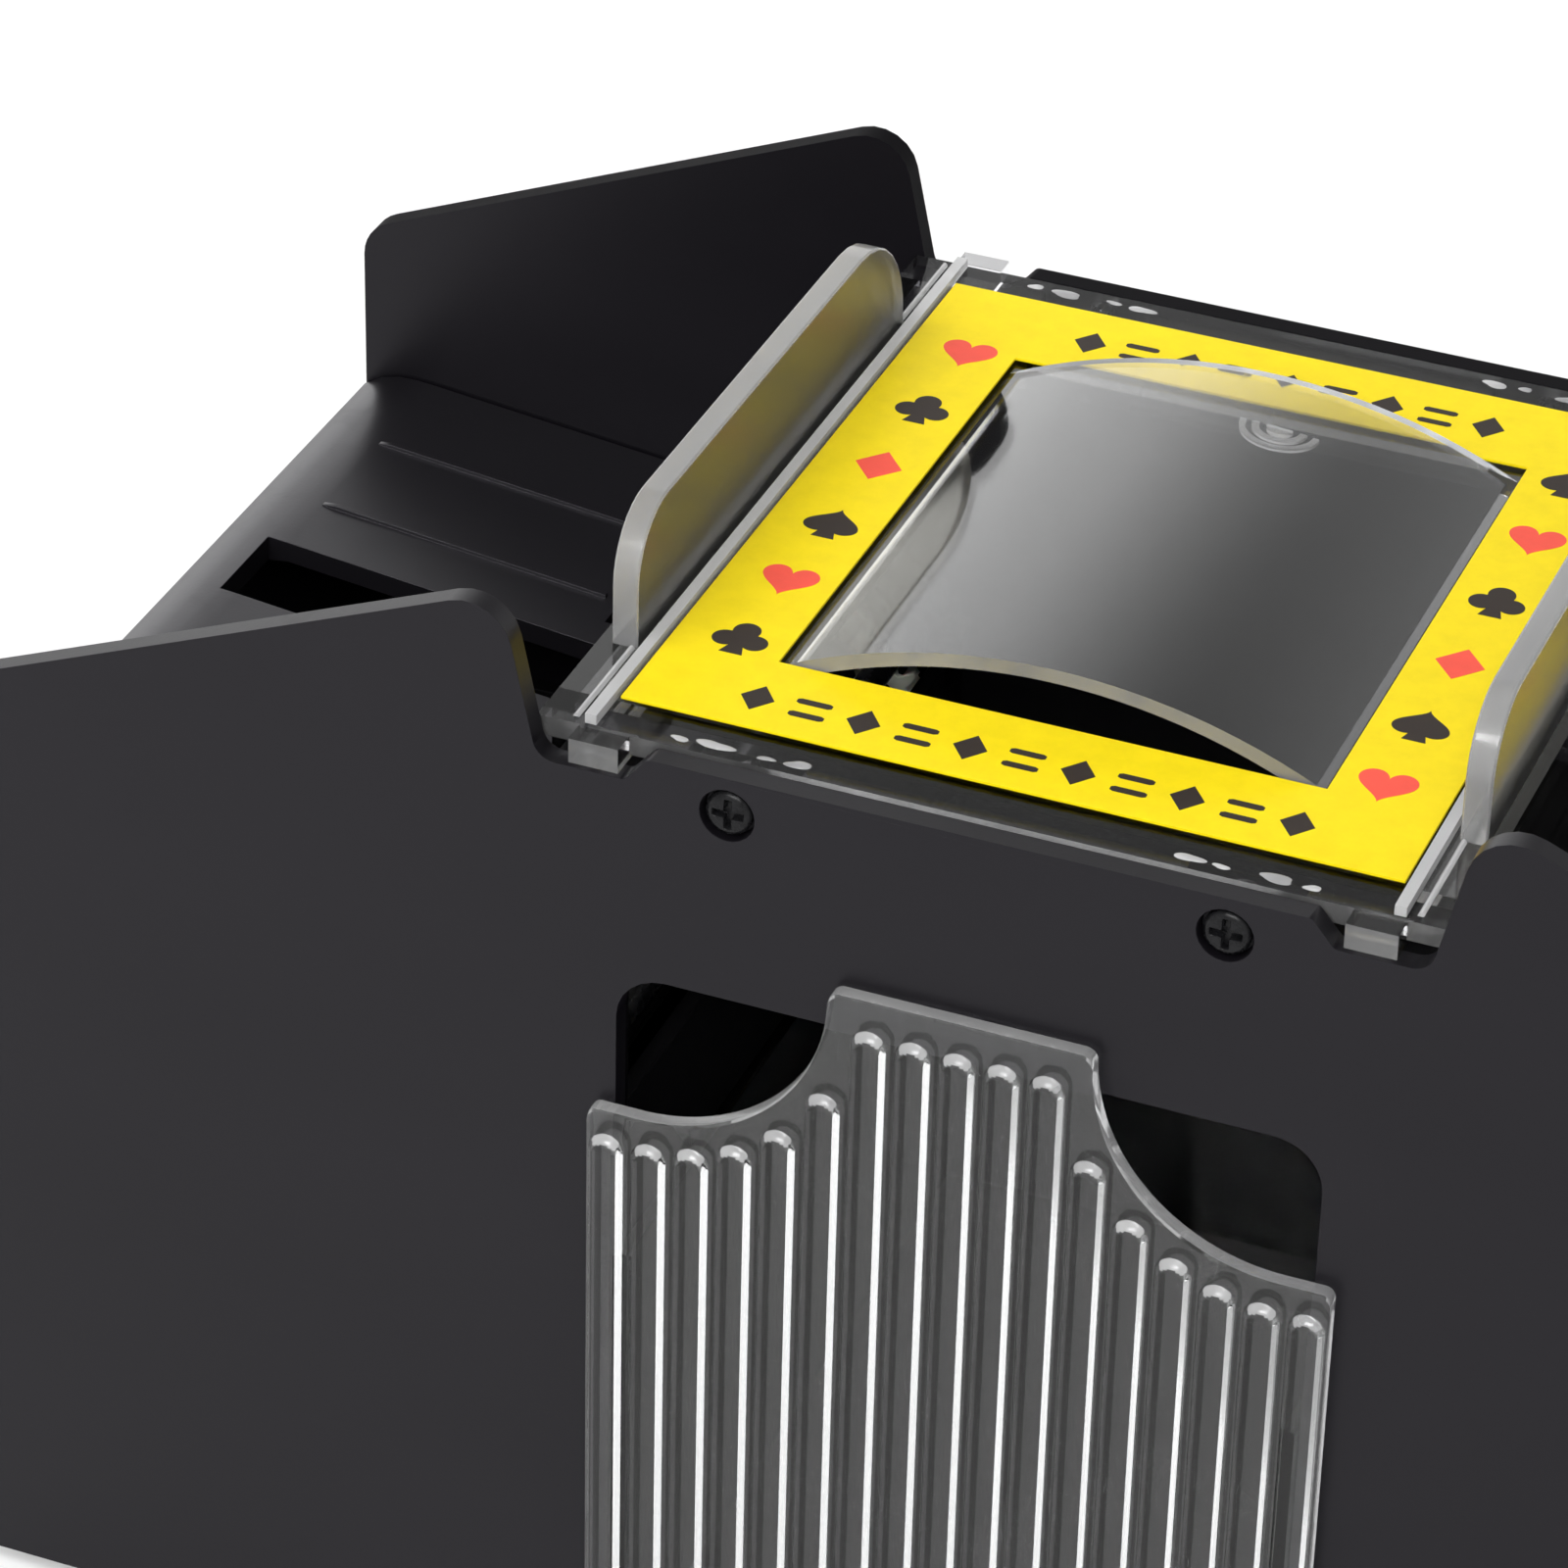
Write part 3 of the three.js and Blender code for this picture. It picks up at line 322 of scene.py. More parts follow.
# ---- mesh helpers ----------------------------------------------------------

SHARP_ANGLE = math.radians(34.0)           # an edge that turns more than this is shaded sharp
ROUNDED_ANGLE = math.radians(28.0)         # an edge that turns more than this is rounded
FLAT_ANGLE = math.radians(0.4)             # faces that turn less than this are merged
SPLIT_CORNER, TOUCHING = 2e-6, 1e-6        # metres between corners that are joined


def finish_mesh(obj):
    """Smooth shading with sharp corners, and normals that follow the large faces."""
    mesh = obj.data
    mesh.shade_smooth()
    mesh.set_sharp_from_angle(angle=SHARP_ANGLE)
    mesh.validate()
    even = obj.modifiers.new("even_normals", "WEIGHTED_NORMAL")
    even.mode = "FACE_AREA"
    even.keep_sharp = True


def linked(name, data):
    """An object in the scene for a mesh, a light, a camera, or a bmesh, which is freed."""
    if isinstance(data, bmesh.types.BMesh):
        bm, data = data, bpy.data.meshes.new(name)
        bm.to_mesh(data)
        bm.free()
    obj = bpy.data.objects.new(name, data)
    bpy.context.scene.collection.objects.link(obj)
    return obj


def new_piece(name, mesh_or_bm, body, material, slot, replaces=()):
    """A visible piece that rides on a body, and may stand in for CAD nodes."""
    obj = linked(name, mesh_or_bm)
    obj.data.materials.clear()
    obj.data.materials.append(material)
    finish_mesh(obj)
    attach(obj, body)
    if replaces:
        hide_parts(*replaces)
    return obj


def replaced(node, mesh_or_bm, suffix="moulding", slot=None):
    """A piece of this shape in place of a CAD node, with the node's body and finish."""
    slot = slot or SLOT_OF[node]
    return new_piece(f"{node}_{suffix}", mesh_or_bm, BODY_OF[node], MATERIALS[slot], slot, [node])


def as_bm(mesh, join=TOUCHING):
    """A mesh as a bmesh, with the corners that touch joined."""
    bm = bmesh.new()
    bm.from_mesh(mesh)
    bmesh.ops.remove_doubles(bm, verts=bm.verts, dist=join)
    return bm


def welded(node):
    """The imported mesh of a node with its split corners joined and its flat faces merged."""
    bm = as_bm(NODES[node].data, SPLIT_CORNER)
    bmesh.ops.dissolve_degenerate(bm, edges=bm.edges, dist=TOUCHING)
    bmesh.ops.dissolve_limit(bm, angle_limit=FLAT_ANGLE, verts=bm.verts, edges=bm.edges)
    return bm


def bevel(bm, edges, width, segments, **settings):
    """Rounds edges by a width in millimetres."""
    bmesh.ops.bevel(bm, geom=edges, offset=width * MM, segments=segments, profile=0.5,
                    affect="EDGES", **settings)


def round_edges(bm, width, segments, where=None):
    """Rounds the sharp edges, or those whose middle passes a test."""
    sharp = [e for e in bm.edges
             if len(e.link_faces) == 2 and e.calc_face_angle() > ROUNDED_ANGLE
             and (where is None or where((e.verts[0].co + e.verts[1].co) / 2))]
    bevel(bm, sharp, width, segments, offset_type="OFFSET", clamp_overlap=True, loop_slide=True)


def give_looks(piece, looks, look_of):
    """Gives each face the look that look_of says for its centre and normal."""
    piece.data.materials.clear()
    for look in looks:
        piece.data.materials.append(look)
    for face in piece.data.polygons:
        face.material_index = looks.index(look_of(face.center, face.normal))


def moulded(node, width, segments, suffix="moulding", slot=None):
    """A CAD node's own shape with rounded edges, in place of the node."""
    bm = welded(node)
    round_edges(bm, width, segments)
    return replaced(node, bm, suffix, slot)


def slab(x0, x1, y0, y1, z0, z1):
    """A box between two corners, for cutting."""
    bm = bmesh.new()
    verts = bmesh.ops.create_cube(bm, size=1.0)["verts"]
    bmesh.ops.scale(bm, verts=verts, vec=(x1 - x0, y1 - y0, z1 - z0))
    bmesh.ops.translate(bm, verts=verts, vec=((x0 + x1) / 2, (y0 + y1) / 2, (z0 + z1) / 2))
    return bm


def combined(name, first, second, operation):
    """One closed mesh joined to another, or cut by it."""
    base, tool = linked(name, first), linked(f"{name}_tool", second)
    modifier = base.modifiers.new("combine", "BOOLEAN")
    modifier.operation, modifier.solver, modifier.object = operation, "EXACT", tool
    dg = bpy.context.evaluated_depsgraph_get()
    mesh = bpy.data.meshes.new_from_object(base.evaluated_get(dg))
    bpy.data.objects.remove(base)
    bpy.data.objects.remove(tool)
    return mesh


def stacked(bm, rings):
    """Joins closed rings of equal length by quads, with open ends. Gives the rings' corners."""
    rings = [[bm.verts.new(point) for point in ring] for ring in rings]
    for low, high in zip(rings, rings[1:]):
        for i in range(len(low)):
            j = (i + 1) % len(low)
            bm.faces.new((low[i], low[j], high[j], high[i]))
    return rings


def capped(bm, rings):
    """Joins closed rings by quads and closes both ends."""
    rings = stacked(bm, rings)
    bm.faces.new(list(reversed(rings[0])))
    bm.faces.new(rings[-1])


def prism(bm, outline, place):
    """A closed prism: place(u, v, end) gives a corner of the outline at end 0 or 1, in metres."""
    capped(bm, [[place(u, v, end) for u, v in outline] for end in (0, 1)])


def finished_bm(bm, width=0.0):
    """Turns the faces outwards, and rounds the edges where a width is given."""
    bmesh.ops.recalc_face_normals(bm, faces=bm.faces)
    if width:
        round_edges(bm, width, 2)
    return bm


def between(lo, hi):
    """The middle of a box."""
    return (lo + hi) / 2


def circle(radius, steps):
    return [(radius * math.cos(2 * math.pi * i / steps), radius * math.sin(2 * math.pi * i / steps))
            for i in range(steps)]


def rounded_rectangle(half_x, half_y, radius, steps=4):
    """An outline around the origin, with steps to each corner."""
    outline = []
    for k, (sx, sy) in enumerate(((1, 1), (-1, 1), (-1, -1), (1, -1))):
        for i in range(steps + 1):
            a = math.pi / 2 * (k + i / steps)
            outline.append((sx * (half_x - radius) + radius * math.cos(a),
                            sy * (half_y - radius) + radius * math.sin(a)))
    return outline


# ---- shell -----------------------------------------------------------------

RECESS = 3.2                               # reach of a cover screw's recess from its centre
PANEL_ROUND, RECESS_ROUND, BUTTON_ROUND = 0.45, 0.1, 0.5
FACE_ON = 0.75                             # normals nearer to the y axis are a panel's faces
screw_centres = [between(*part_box(f"cover_screw_{i}")) for i in (1, 2, 3, 4)]


def beside_screw(point):
    return any(max(abs(point.x - centre.x), abs(point.z - centre.z)) < RECESS * MM
               for centre in screw_centres)


for node in ("front_panel", "rear_panel"):
    skin = welded(node)
    round_edges(skin, RECESS_ROUND, 1, where=beside_screw)
    round_edges(skin, PANEL_ROUND, 3, where=lambda point: not beside_screw(point))
    panel = replaced(node, skin)
    if node == "rear_panel":
        # The rear panel's edge faces take the darker copy of the black, a painted shade.
        panel.data.materials.append(BLACK_EDGE_PAINTED_SHADE)
        for face in panel.data.polygons:
            face.material_index = 1 if abs(face.normal.y) < FACE_ON else 0
for node in ("left_tray", "right_tray"):
    tray = moulded(node, width=0.15, segments=2)
    tray.data.materials[0] = TRAY_BLACK
for node in ("base_plate", "battery_door", "battery_box", "left_bulkhead", "right_bulkhead",
             "front_frame", "rear_frame", "switch_body", "left_motor_bracket",
             "right_motor_bracket"):
    moulded(node, width=0.2, segments=1)

# The power button, with a shallow dish in its face: the half width, half height and depth of the
# dish, and the radius of the ball that cuts it, seen from the side.
DISH_X, DISH_Z, DISH_DEPTH, DISH_R = 9.6, 5.9, 0.55, 32.0
button_lo, button_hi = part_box("power_button")
button = between(button_lo, button_hi)
dish = bmesh.new()
bmesh.ops.create_uvsphere(dish, u_segments=96, v_segments=64, radius=1.0)
bmesh.ops.scale(dish, verts=dish.verts,
                vec=(DISH_R * DISH_X / DISH_Z * MM, DISH_R * MM, DISH_R * MM))
bmesh.ops.translate(dish, verts=dish.verts,
                    vec=(button.x, button_lo.y + (DISH_DEPTH - DISH_R) * MM, button.z))
cap = welded("power_button")
round_edges(cap, BUTTON_ROUND, 3)
replaced("power_button", as_bm(combined("power_button_dished", cap, dish, "DIFFERENCE")))
moulded("label", width=0.04, segments=1, suffix="film")

# ---- top cover -------------------------------------------------------------

# Millimetres: x from the middle, y behind the middle, heights above the label.
FIN_IN, FIN_OUT, RAIL_IN, RAIL_OUT = 39.0, 41.6, 37.3, 38.4
PLATE_TOP = -0.6
DOME_HALF, DOME_CROWN, DOME_WALL = 25.8, 5.6, 1.4
DOME_FOOT, WINDOW_REAR, WINDOW_TOP = -0.3, 27.5, -0.2
RIM_DEPTH = 2.0                            # the front rim starts this far before the label
NEAR = 0.1                                 # slack at the borders of an area
FIN_SIDE, ARCH_END, RIM_FRONT = 0.97, 0.6, 0.3      # how squarely such a face faces its way
FIN_ROUND, COVER_ROUND = 0.95, 0.22


def from_middle(point):
    """Distance from the middle line and height above the label, in millimetres."""
    return abs(point.x) / MM, (point.z - DECK) / MM


def on_fin(point):
    x, z = from_middle(point)
    return FIN_IN - NEAR < x < FIN_OUT + NEAR and z > PLATE_TOP + NEAR


def cover_look(centre, normal):
    """The look of a face of the cover, by where it is and where it faces: painted highlights on the
    fin edges, arch ends and rails, and painted shade on the fin sides and the front rim.
    """
    x, z = from_middle(centre)
    if on_fin(centre):
        return CLEAR_FIN_PAINTED_SHADE if abs(normal.x) > FIN_SIDE else CLEAR_EDGE_PAINTED_HIGHLIGHT
    if RAIL_IN - NEAR < x < RAIL_OUT + NEAR and z > PLATE_TOP + NEAR:
        return CLEAR_RAIL_PAINTED_HIGHLIGHT
    if x < DOME_HALF + NEAR and z > DOME_FOOT and abs(normal.y) > ARCH_END:
        return CLEAR_EDGE_PAINTED_HIGHLIGHT
    if centre.y < label_lo.y - RIM_DEPTH * MM and abs(normal.y) > RIM_FRONT:
        return CLEAR_RIM_PAINTED_SHADE
    if centre.y < label_lo.y or centre.y > label_hi.y:
        return CLEAR_FLANGE
    if x < DOME_HALF and centre.y > MID_Y + WINDOW_REAR * MM and z < WINDOW_TOP:
        return CLEAR_FLANGE
    return CLEAR_COVER


skin = welded("top_cover")
for y in (label_lo.y, label_hi.y):
    bmesh.ops.bisect_plane(skin, geom=skin.verts[:] + skin.edges[:] + skin.faces[:],
                           plane_co=(0, y, 0), plane_no=(0, 1, 0))
round_edges(skin, FIN_ROUND, 4, where=on_fin)
round_edges(skin, COVER_ROUND, 2, where=lambda point: not on_fin(point))
cover = replaced("top_cover", skin)
COVER_LOOKS = [CLEAR_COVER, CLEAR_EDGE_PAINTED_HIGHLIGHT, CLEAR_FIN_PAINTED_SHADE, CLEAR_RAIL_PAINTED_HIGHLIGHT, CLEAR_FLANGE, CLEAR_RIM_PAINTED_SHADE]
give_looks(cover, COVER_LOOKS, cover_look)

PAD_STEPS, PAD_LEVELS = 24, 4
TWO_LOBES, THREE_LOBES = 0.18, 0.1         # how far the outline of a pad waves in and out


def lobed_pad(bm, cx, cy, cz, half_x, half_y, height, turn):
    """A low rounded mark with a wavy outline."""
    rings = []
    for level in range(PAD_LEVELS):
        t = level / PAD_LEVELS * math.pi / 2
        ring = []
        for i in range(PAD_STEPS):
            a = 2 * math.pi * i / PAD_STEPS
            wave = 1 + TWO_LOBES * math.cos(2 * a + turn) + THREE_LOBES * math.cos(3 * a - turn)
            reach = math.cos(t) * wave
            ring.append(((cx + half_x * reach * math.cos(a)) * MM,
                         MID_Y + (cy + half_y * reach * math.sin(a)) * MM,
                         DECK + (cz + height * math.sin(t)) * MM))
        rings.append(ring)
    rings = stacked(bm, rings)
    top = bm.verts.new((cx * MM, MID_Y + cy * MM, DECK + (cz + height) * MM))
    bm.faces.new(rings[0])
    for i in range(PAD_STEPS):
        bm.faces.new((rings[-1][i], rings[-1][(i + 1) % PAD_STEPS], top))


def housing_piece(name, bm, look):
    new_piece(name, bm, BODY_OF["top_cover"], look, "clear_plastic")


# Low ridges in line with the fins, from the fin ends to the corners of the plate, in the pale rail
# look, a painted highlight.
RIDGE_OUTLINE = [(-0.3, 0.0), (0.3, 0.0), (0.24, 0.2), (0.1, 0.34), (-0.1, 0.34), (-0.24, 0.2)]
RIDGE_X, RIDGE_ENDS, RIDGE_LIFT = 39.5, (33.6, 46.2), 0.02
ridges = bmesh.new()
for sx in (-1, 1):
    for sy in (-1, 1):
        prism(ridges, RIDGE_OUTLINE, lambda u, v, end: (
            (sx * RIDGE_X + u) * MM, MID_Y + sy * RIDGE_ENDS[end] * MM,
            DECK + (PLATE_TOP + RIDGE_LIFT + v) * MM))
housing_piece("cover_corner_ridges", finished_bm(ridges), CLEAR_RAIL_PAINTED_HIGHLIGHT)

# Pale marks over the ends of the screw tabs, painted highlights where the tab ends catch the light:
# x, half length and half width of each.
TAB_HIGHLIGHT_PADS = ((18.3, 1.3, 0.6), (21.3, 0.8, 0.35), (26.3, 1.7, 0.65), (29.6, 0.9, 0.4))
PAD_Y, PAD_STAGGER, PAD_LIFT, PAD_HEIGHT, PAD_TURN = 45.6, 0.2, 0.01, 0.16, 1.3
highlight_pads = bmesh.new()
for sx in (-1, 1):
    for sy in (-1, 1):
        for i, (x, half, across) in enumerate(TAB_HIGHLIGHT_PADS):
            lobed_pad(highlight_pads, sx * x, sy * (PAD_Y + PAD_STAGGER * (i % 2)), PLATE_TOP + PAD_LIFT,
                      half, across, PAD_HEIGHT, PAD_TURN * i + sx + sy)
housing_piece("cover_tab_painted_highlights", finished_bm(highlight_pads), CLEAR_MARK_PAINTED_HIGHLIGHT)

# A half-round gate mark under the arch, near the rear, in the pale edge look, a painted highlight.
# Each band: inner and outer radius, depth.
GATE_X, GATE_Y, GATE_INSET = 4.3, 20.0, 0.05
GATE_BANDS = ((0.0, 1.3, 0.5), (2.0, 2.7, 0.35), (3.3, 3.9, 0.45))
GATE_ARC = [math.pi + math.pi * k / 20 for k in range(21)]
ARCH_RADIUS = 55.1


def under_arch(x, y, depth):
    """A point this far below the inner face of the arch."""
    drop = x * x / (2 * ARCH_RADIUS)
    return (x * MM, MID_Y + y * MM, DECK + (DOME_CROWN - DOME_WALL - drop - depth) * MM)


gate = bmesh.new()
for inner, outer, depth in GATE_BANDS:
    outline = [(outer * math.cos(a), outer * math.sin(a)) for a in GATE_ARC]
    if inner:
        outline += [(inner * math.cos(a), inner * math.sin(a)) for a in reversed(GATE_ARC)]
    prism(gate, outline, lambda u, v, end: under_arch(
        GATE_X + u, GATE_Y + v, depth if end else GATE_INSET))
housing_piece("cover_gate_mark", finished_bm(gate), CLEAR_EDGE_PAINTED_HIGHLIGHT)


# ---- printing on the label -------------------------------------------------

def ray_exit(polygon, dx, dy):
    """How far a ray from the origin runs before it last leaves a closed outline."""
    far = 0.0
    for (ax, ay), (bx, by) in zip(polygon, polygon[1:] + polygon[:1]):
        ex, ey = bx - ax, by - ay
        det = ex * dy - ey * dx
        if abs(det) < 1e-12:
            continue
        t = (ex * ay - ey * ax) / det
        u = (dx * ay - dy * ax) / det
        if t > far and -1e-6 <= u <= 1 + 1e-6:
            far = t
    return far


def joined_outline(polygons, steps=96):
    """The outer outline of shapes that all can be seen from the origin."""
    points = []
    for i in range(steps):
        angle = 2 * math.pi * i / steps - math.pi / 2
        dx, dy = math.cos(angle), math.sin(angle)
        reach = max(ray_exit(polygon, dx, dy) for polygon in polygons)
        points.append((reach * dx, reach * dy))
    return points


def disc(cx, cy, radius):
    return [(cx + u, cy + v) for u, v in circle(radius, 40)]


def heart_outline(flip=1):
    points = []
    for i in range(64):
        t = 2 * math.pi * i / 64
        x = 16 * math.sin(t) ** 3
        y = 13 * math.cos(t) - 5 * math.cos(2 * t) - 2 * math.cos(3 * t) - math.cos(4 * t)
        points.append((x / 16, flip * (y + 2.5) / 15.5))
    return points


STEM = [(-0.42, -1.0), (0.42, -1.0), (0.14, -0.55), (0.08, 0.0), (-0.08, 0.0), (-0.14, -0.55)]
SUITS = {
    "heart": heart_outline(),
    "diamond": joined_outline([[(0, -1), (0.86, 0), (0, 1), (-0.86, 0)]], 32),
    "spade": joined_outline([[(x * 0.98, y * 0.86 + 0.16) for x, y in heart_outline(-1)], STEM]),
    "club": joined_outline([disc(0, 0.5, 0.48), disc(-0.52, -0.14, 0.46), disc(0.52, -0.14, 0.46),
                            disc(0, 0.1, 0.3), STEM]),
}
# Millimetres from the middle of the label.
SUIT_COLUMNS = [
    (-30.7, ["heart", "club", "diamond", "spade", "heart", "club"]),
    (30.7, ["spade", "heart", "club", "diamond", "spade", "heart"]),
]
SUIT_ROWS = [29.0, 17.2, 5.4, -6.4, -17.8, -28.8]
SUIT_HALF = 2.75
LOZENGE_ROWS, LOZENGE_PITCH = ((-37.6, 11), (36.2, 9)), 5.1      # each row's y and count
LOZENGE_SIZE, BAR_SIZE, BAR_OFFSET = (1.9, 2.1), (1.7, 0.42), 1.1
BAR = [(-1, -0.55), (-0.8, -1), (0.8, -1), (1, -0.55), (1, 0.55), (0.8, 1), (-0.8, 1), (-1, 0.55)]
INK_LIFT = 0.03


def print_piece(name, shapes, ink):
    """Closed films of ink on the label, each with an outline, a place and half its size."""
    bm = bmesh.new()
    for outline, x, y, half_x, half_y in shapes:
        prism(bm, outline, lambda u, v, end: (
            (x + u * half_x) * MM, MID_Y + (y + v * half_y) * MM,
            DECK + (INK_LIFT if end else -INK_LIFT) * MM))
    new_piece(name, finished_bm(bm), BODY_OF["label"], ink, "printed_label")


red, dark = [], []
for x, kinds in SUIT_COLUMNS:
    for kind, y in zip(kinds, SUIT_ROWS):
        shapes = red if kind in ("heart", "diamond") else dark
        shapes.append((SUITS[kind], x, y, SUIT_HALF, SUIT_HALF))
for y, count in LOZENGE_ROWS:
    for i in range(count):
        x = (i - (count - 1) / 2) * LOZENGE_PITCH
        if i % 2:
            dark += [(BAR, x, y + BAR_OFFSET, *BAR_SIZE), (BAR, x, y - BAR_OFFSET, *BAR_SIZE)]
        else:
            dark.append((SUITS["diamond"], x, y, *LOZENGE_SIZE))
print_piece("label_print_red", red, RED_INK)
print_piece("label_print_black", dark, BLACK_INK)


# ---- drawer ----------------------------------------------------------------

# Millimetres: x from the middle of the front, y behind the middle of the body, z up.
drawer_lo, drawer_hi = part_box("drawer")
RIB_COUNT, RIB_PITCH, RIB_HALF, RIB_FLAT, RIB_PROUD = 17, 4.24, 1.75, 1.25, 0.8
CAP_SLOPE = 1.15                           # how far a rib's end takes to rise
FRONT_HALF = (drawer_hi.x - drawer_lo.x) / 2 / MM
FRONT_TOP = drawer_hi.z / MM
FRONT_FOOT = drawer_lo.z / MM
FRONT_THICK = 1.5
FACE_Y = (drawer_lo.y - MID_Y) / MM + RIB_PROUD     # the flat face between the ribs
BACK_Y = FACE_Y + FRONT_THICK
SCOOP_X, SCOOP_Z, SCOOP_R = 31.0, DECK / MM - 20.4, 18.4
TAB_HALF, TAB_ROUND, CORNER_ROUND = SCOOP_X - SCOOP_R, 1.2, 1.0
TAB_MARGIN, SCOOP_MARGIN, FOOT_MARGIN = 3.2, 2.6, 1.6            # from the edges to the ribs
RIB_LOW = FRONT_FOOT + FOOT_MARGIN + RIB_HALF                    # where the foot ends begin
EDGE_ROUNDING = ((0.0, 0.5), (0.12, 0.18), (0.4, 0.0))           # in from the edge, back
RIB_MIDDLES = [(i - (RIB_COUNT - 1) / 2) * RIB_PITCH for i in range(RIB_COUNT)]
CAP = (1.05, 1.0, 0.97, 0.92, 0.86, 0.79, 0.72, 0.64, 0.55, 0.45, 0.35, 0.25, 0.15, 0.07, 0.0)


def round_off(past, radius):
    """How far a rounded corner falls below its edge, this far past the corner's start."""
    return radius - math.sqrt(max(radius ** 2 - past ** 2, 0.0)) if past > 0 else 0.0


def front_top(x):
    """Height of the scooped edge at a distance from the middle."""
    x = abs(x)
    reach = SCOOP_X - x
    if reach < SCOOP_R:
        top = SCOOP_Z - math.sqrt(SCOOP_R ** 2 - max(reach, 0.0) ** 2)
    else:
        top = FRONT_TOP - round_off(x - (TAB_HALF - TAB_ROUND), TAB_ROUND)
    return top - round_off(x - (FRONT_HALF - CORNER_ROUND), CORNER_ROUND)


def rib_middle(x):
    """The centre line of the rib nearest to x."""
    return min(RIB_MIDDLES, key=lambda middle: abs(middle - x))


def rib_top(x):
    x = abs(x)
    if x < TAB_HALF - RIB_HALF:
        return FRONT_TOP - TAB_MARGIN
    return SCOOP_Z - math.sqrt((SCOOP_R + SCOOP_MARGIN) ** 2 - max(SCOOP_X - x, 0.0) ** 2)


def rib_lift(across, along=0.0):
    """How far a rib stands out, beside its centre line or past its end: a flat top with steep
    flanks and softly rounded ends."""
    reach = math.hypot(across, along)
    towards_end = along / reach if reach else 0.0
    slope = RIB_HALF - RIB_FLAT + (CAP_SLOPE - RIB_HALF + RIB_FLAT) * towards_end
    t = min(max((RIB_HALF - reach) / slope, 0.0), 1.0)
    return RIB_PROUD * ((1 - towards_end) * t + towards_end * math.sin(t * math.pi / 2))


def front_columns():
    """Where the mesh of the front has its columns: fine at the ribs, the tab and the sides."""
    beside_rib = [0.0, 0.2, 0.4, 0.6, 0.8, 1.0, RIB_FLAT - 0.08, RIB_FLAT, RIB_FLAT + 0.06, 1.5,
                  RIB_HALF - 0.06, RIB_HALF, RIB_HALF + 0.08]
    beside_tab = (-1.2, -1.0, -0.7, -0.4, -0.2, -0.08, -0.01, 0.01, 0.04, 0.1, 0.2, 0.35, 0.6)
    before_side = (1.0, 0.8, 0.55, 0.3, 0.12, 0.03, 0.0)
    xs = [TAB_HALF + extra for extra in beside_tab] + [FRONT_HALF - extra for extra in before_side]
    xs += [middle + offset for middle in RIB_MIDDLES for offset in beside_rib]
    mirrored = {round(side * x, 4) for x in xs for side in (-1, 1)}
    return sorted(x for x in mirrored if abs(x) <= FRONT_HALF + 1e-6)


def drawer_front():
    """The ribbed front plate as one closed skin, with rounded rib ends."""
    bm = bmesh.new()
    grid = []
    for x in front_columns():
        middle = rib_middle(x)
        high = rib_top(middle) - RIB_HALF
        edge = front_top(x)
        foot = FRONT_FOOT + round_off(abs(x) - (FRONT_HALF - CORNER_ROUND), CORNER_ROUND)
        rows = [(foot + inwards, back) for inwards, back in EDGE_ROUNDING]
        for share in CAP:
            rows.append((RIB_LOW - RIB_HALF * share, -rib_lift(x - middle, RIB_HALF * share)))
        for share in reversed(CAP):
            rows.append((high + RIB_HALF * share, -rib_lift(x - middle, RIB_HALF * share)))
        rows += [(edge - inwards, back) for inwards, back in reversed(EDGE_ROUNDING)]
        rows += [(edge, FRONT_THICK), (foot, FRONT_THICK)]
        grid.append([(x * MM, MID_Y + (FACE_Y + y) * MM, z * MM) for z, y in rows])
    capped(bm, grid)
    bmesh.ops.remove_doubles(bm, verts=bm.verts, dist=1e-7)
    return finished_bm(bm)


TRAY_HALF, TRAY_FOOT, TRAY_RIM, TRAY_FLOOR = 33.4, 5.2, 60.0, 6.8
TRAY_SIDE, TRAY_BACK, TRAY_LAP = 1.3, 1.6, 0.3      # thickness, and how far it enters the front
TRAY_CORNER, TRAY_ROUND = 2.0, 0.3
BEYOND = 0.01                                       # metres that the cutter runs past the tray


def drawer_tray():
    """The tray behind the front: floor, side walls and back wall, with rounded edges."""
    x, side = TRAY_HALF * MM, TRAY_SIDE * MM
    y0, y1 = MID_Y + (BACK_Y - TRAY_LAP) * MM, drawer_hi.y
    rim = TRAY_RIM * MM
    bm = slab(-x, x, y0, y1, TRAY_FOOT * MM, rim)
    uprights = [e for e in bm.edges if min(v.co.y for v in e.verts) > y1 - TOUCHING
                and abs(e.verts[0].co.z - e.verts[1].co.z) > TOUCHING]
    bevel(bm, uprights, TRAY_CORNER, 4)
    hollow = slab(-x + side, x - side, y0 - BEYOND, y1 - TRAY_BACK * MM, TRAY_FLOOR * MM,
                  rim + BEYOND)
    bm = as_bm(combined("drawer_tray", bm, hollow, "DIFFERENCE"))
    edges = [e for e in bm.edges if len(e.link_faces) == 2 and e.calc_face_angle() > ROUNDED_ANGLE
             and min(v.co.z for v in e.verts) > rim - 0.1 * MM]
    bevel(bm, edges, TRAY_ROUND, 2, clamp_overlap=True)
    return bm


INSET, BEHIND = 0.05, 0.5                           # from the faces of the front plate
# The edges and the upward faces of the rib ends within these limits get painted highlights.
EDGE_TILT, UNDERSIDE, CREST_HIGHLIGHT_TILT = 0.8, -0.5, 0.42  # limits to the normals of edges and crests
CAP_START = 0.02


def on_rib_end(point):
    """Whether a point of the front plate is on the rounded end of a rib."""
    x, z = point.x / MM, point.z / MM
    middle = rib_middle(x)
    past = max(z - rib_top(middle) + RIB_HALF, RIB_LOW - z)
    return abs(x - middle) < RIB_HALF + NEAR and CAP_START < past < RIB_HALF + NEAR


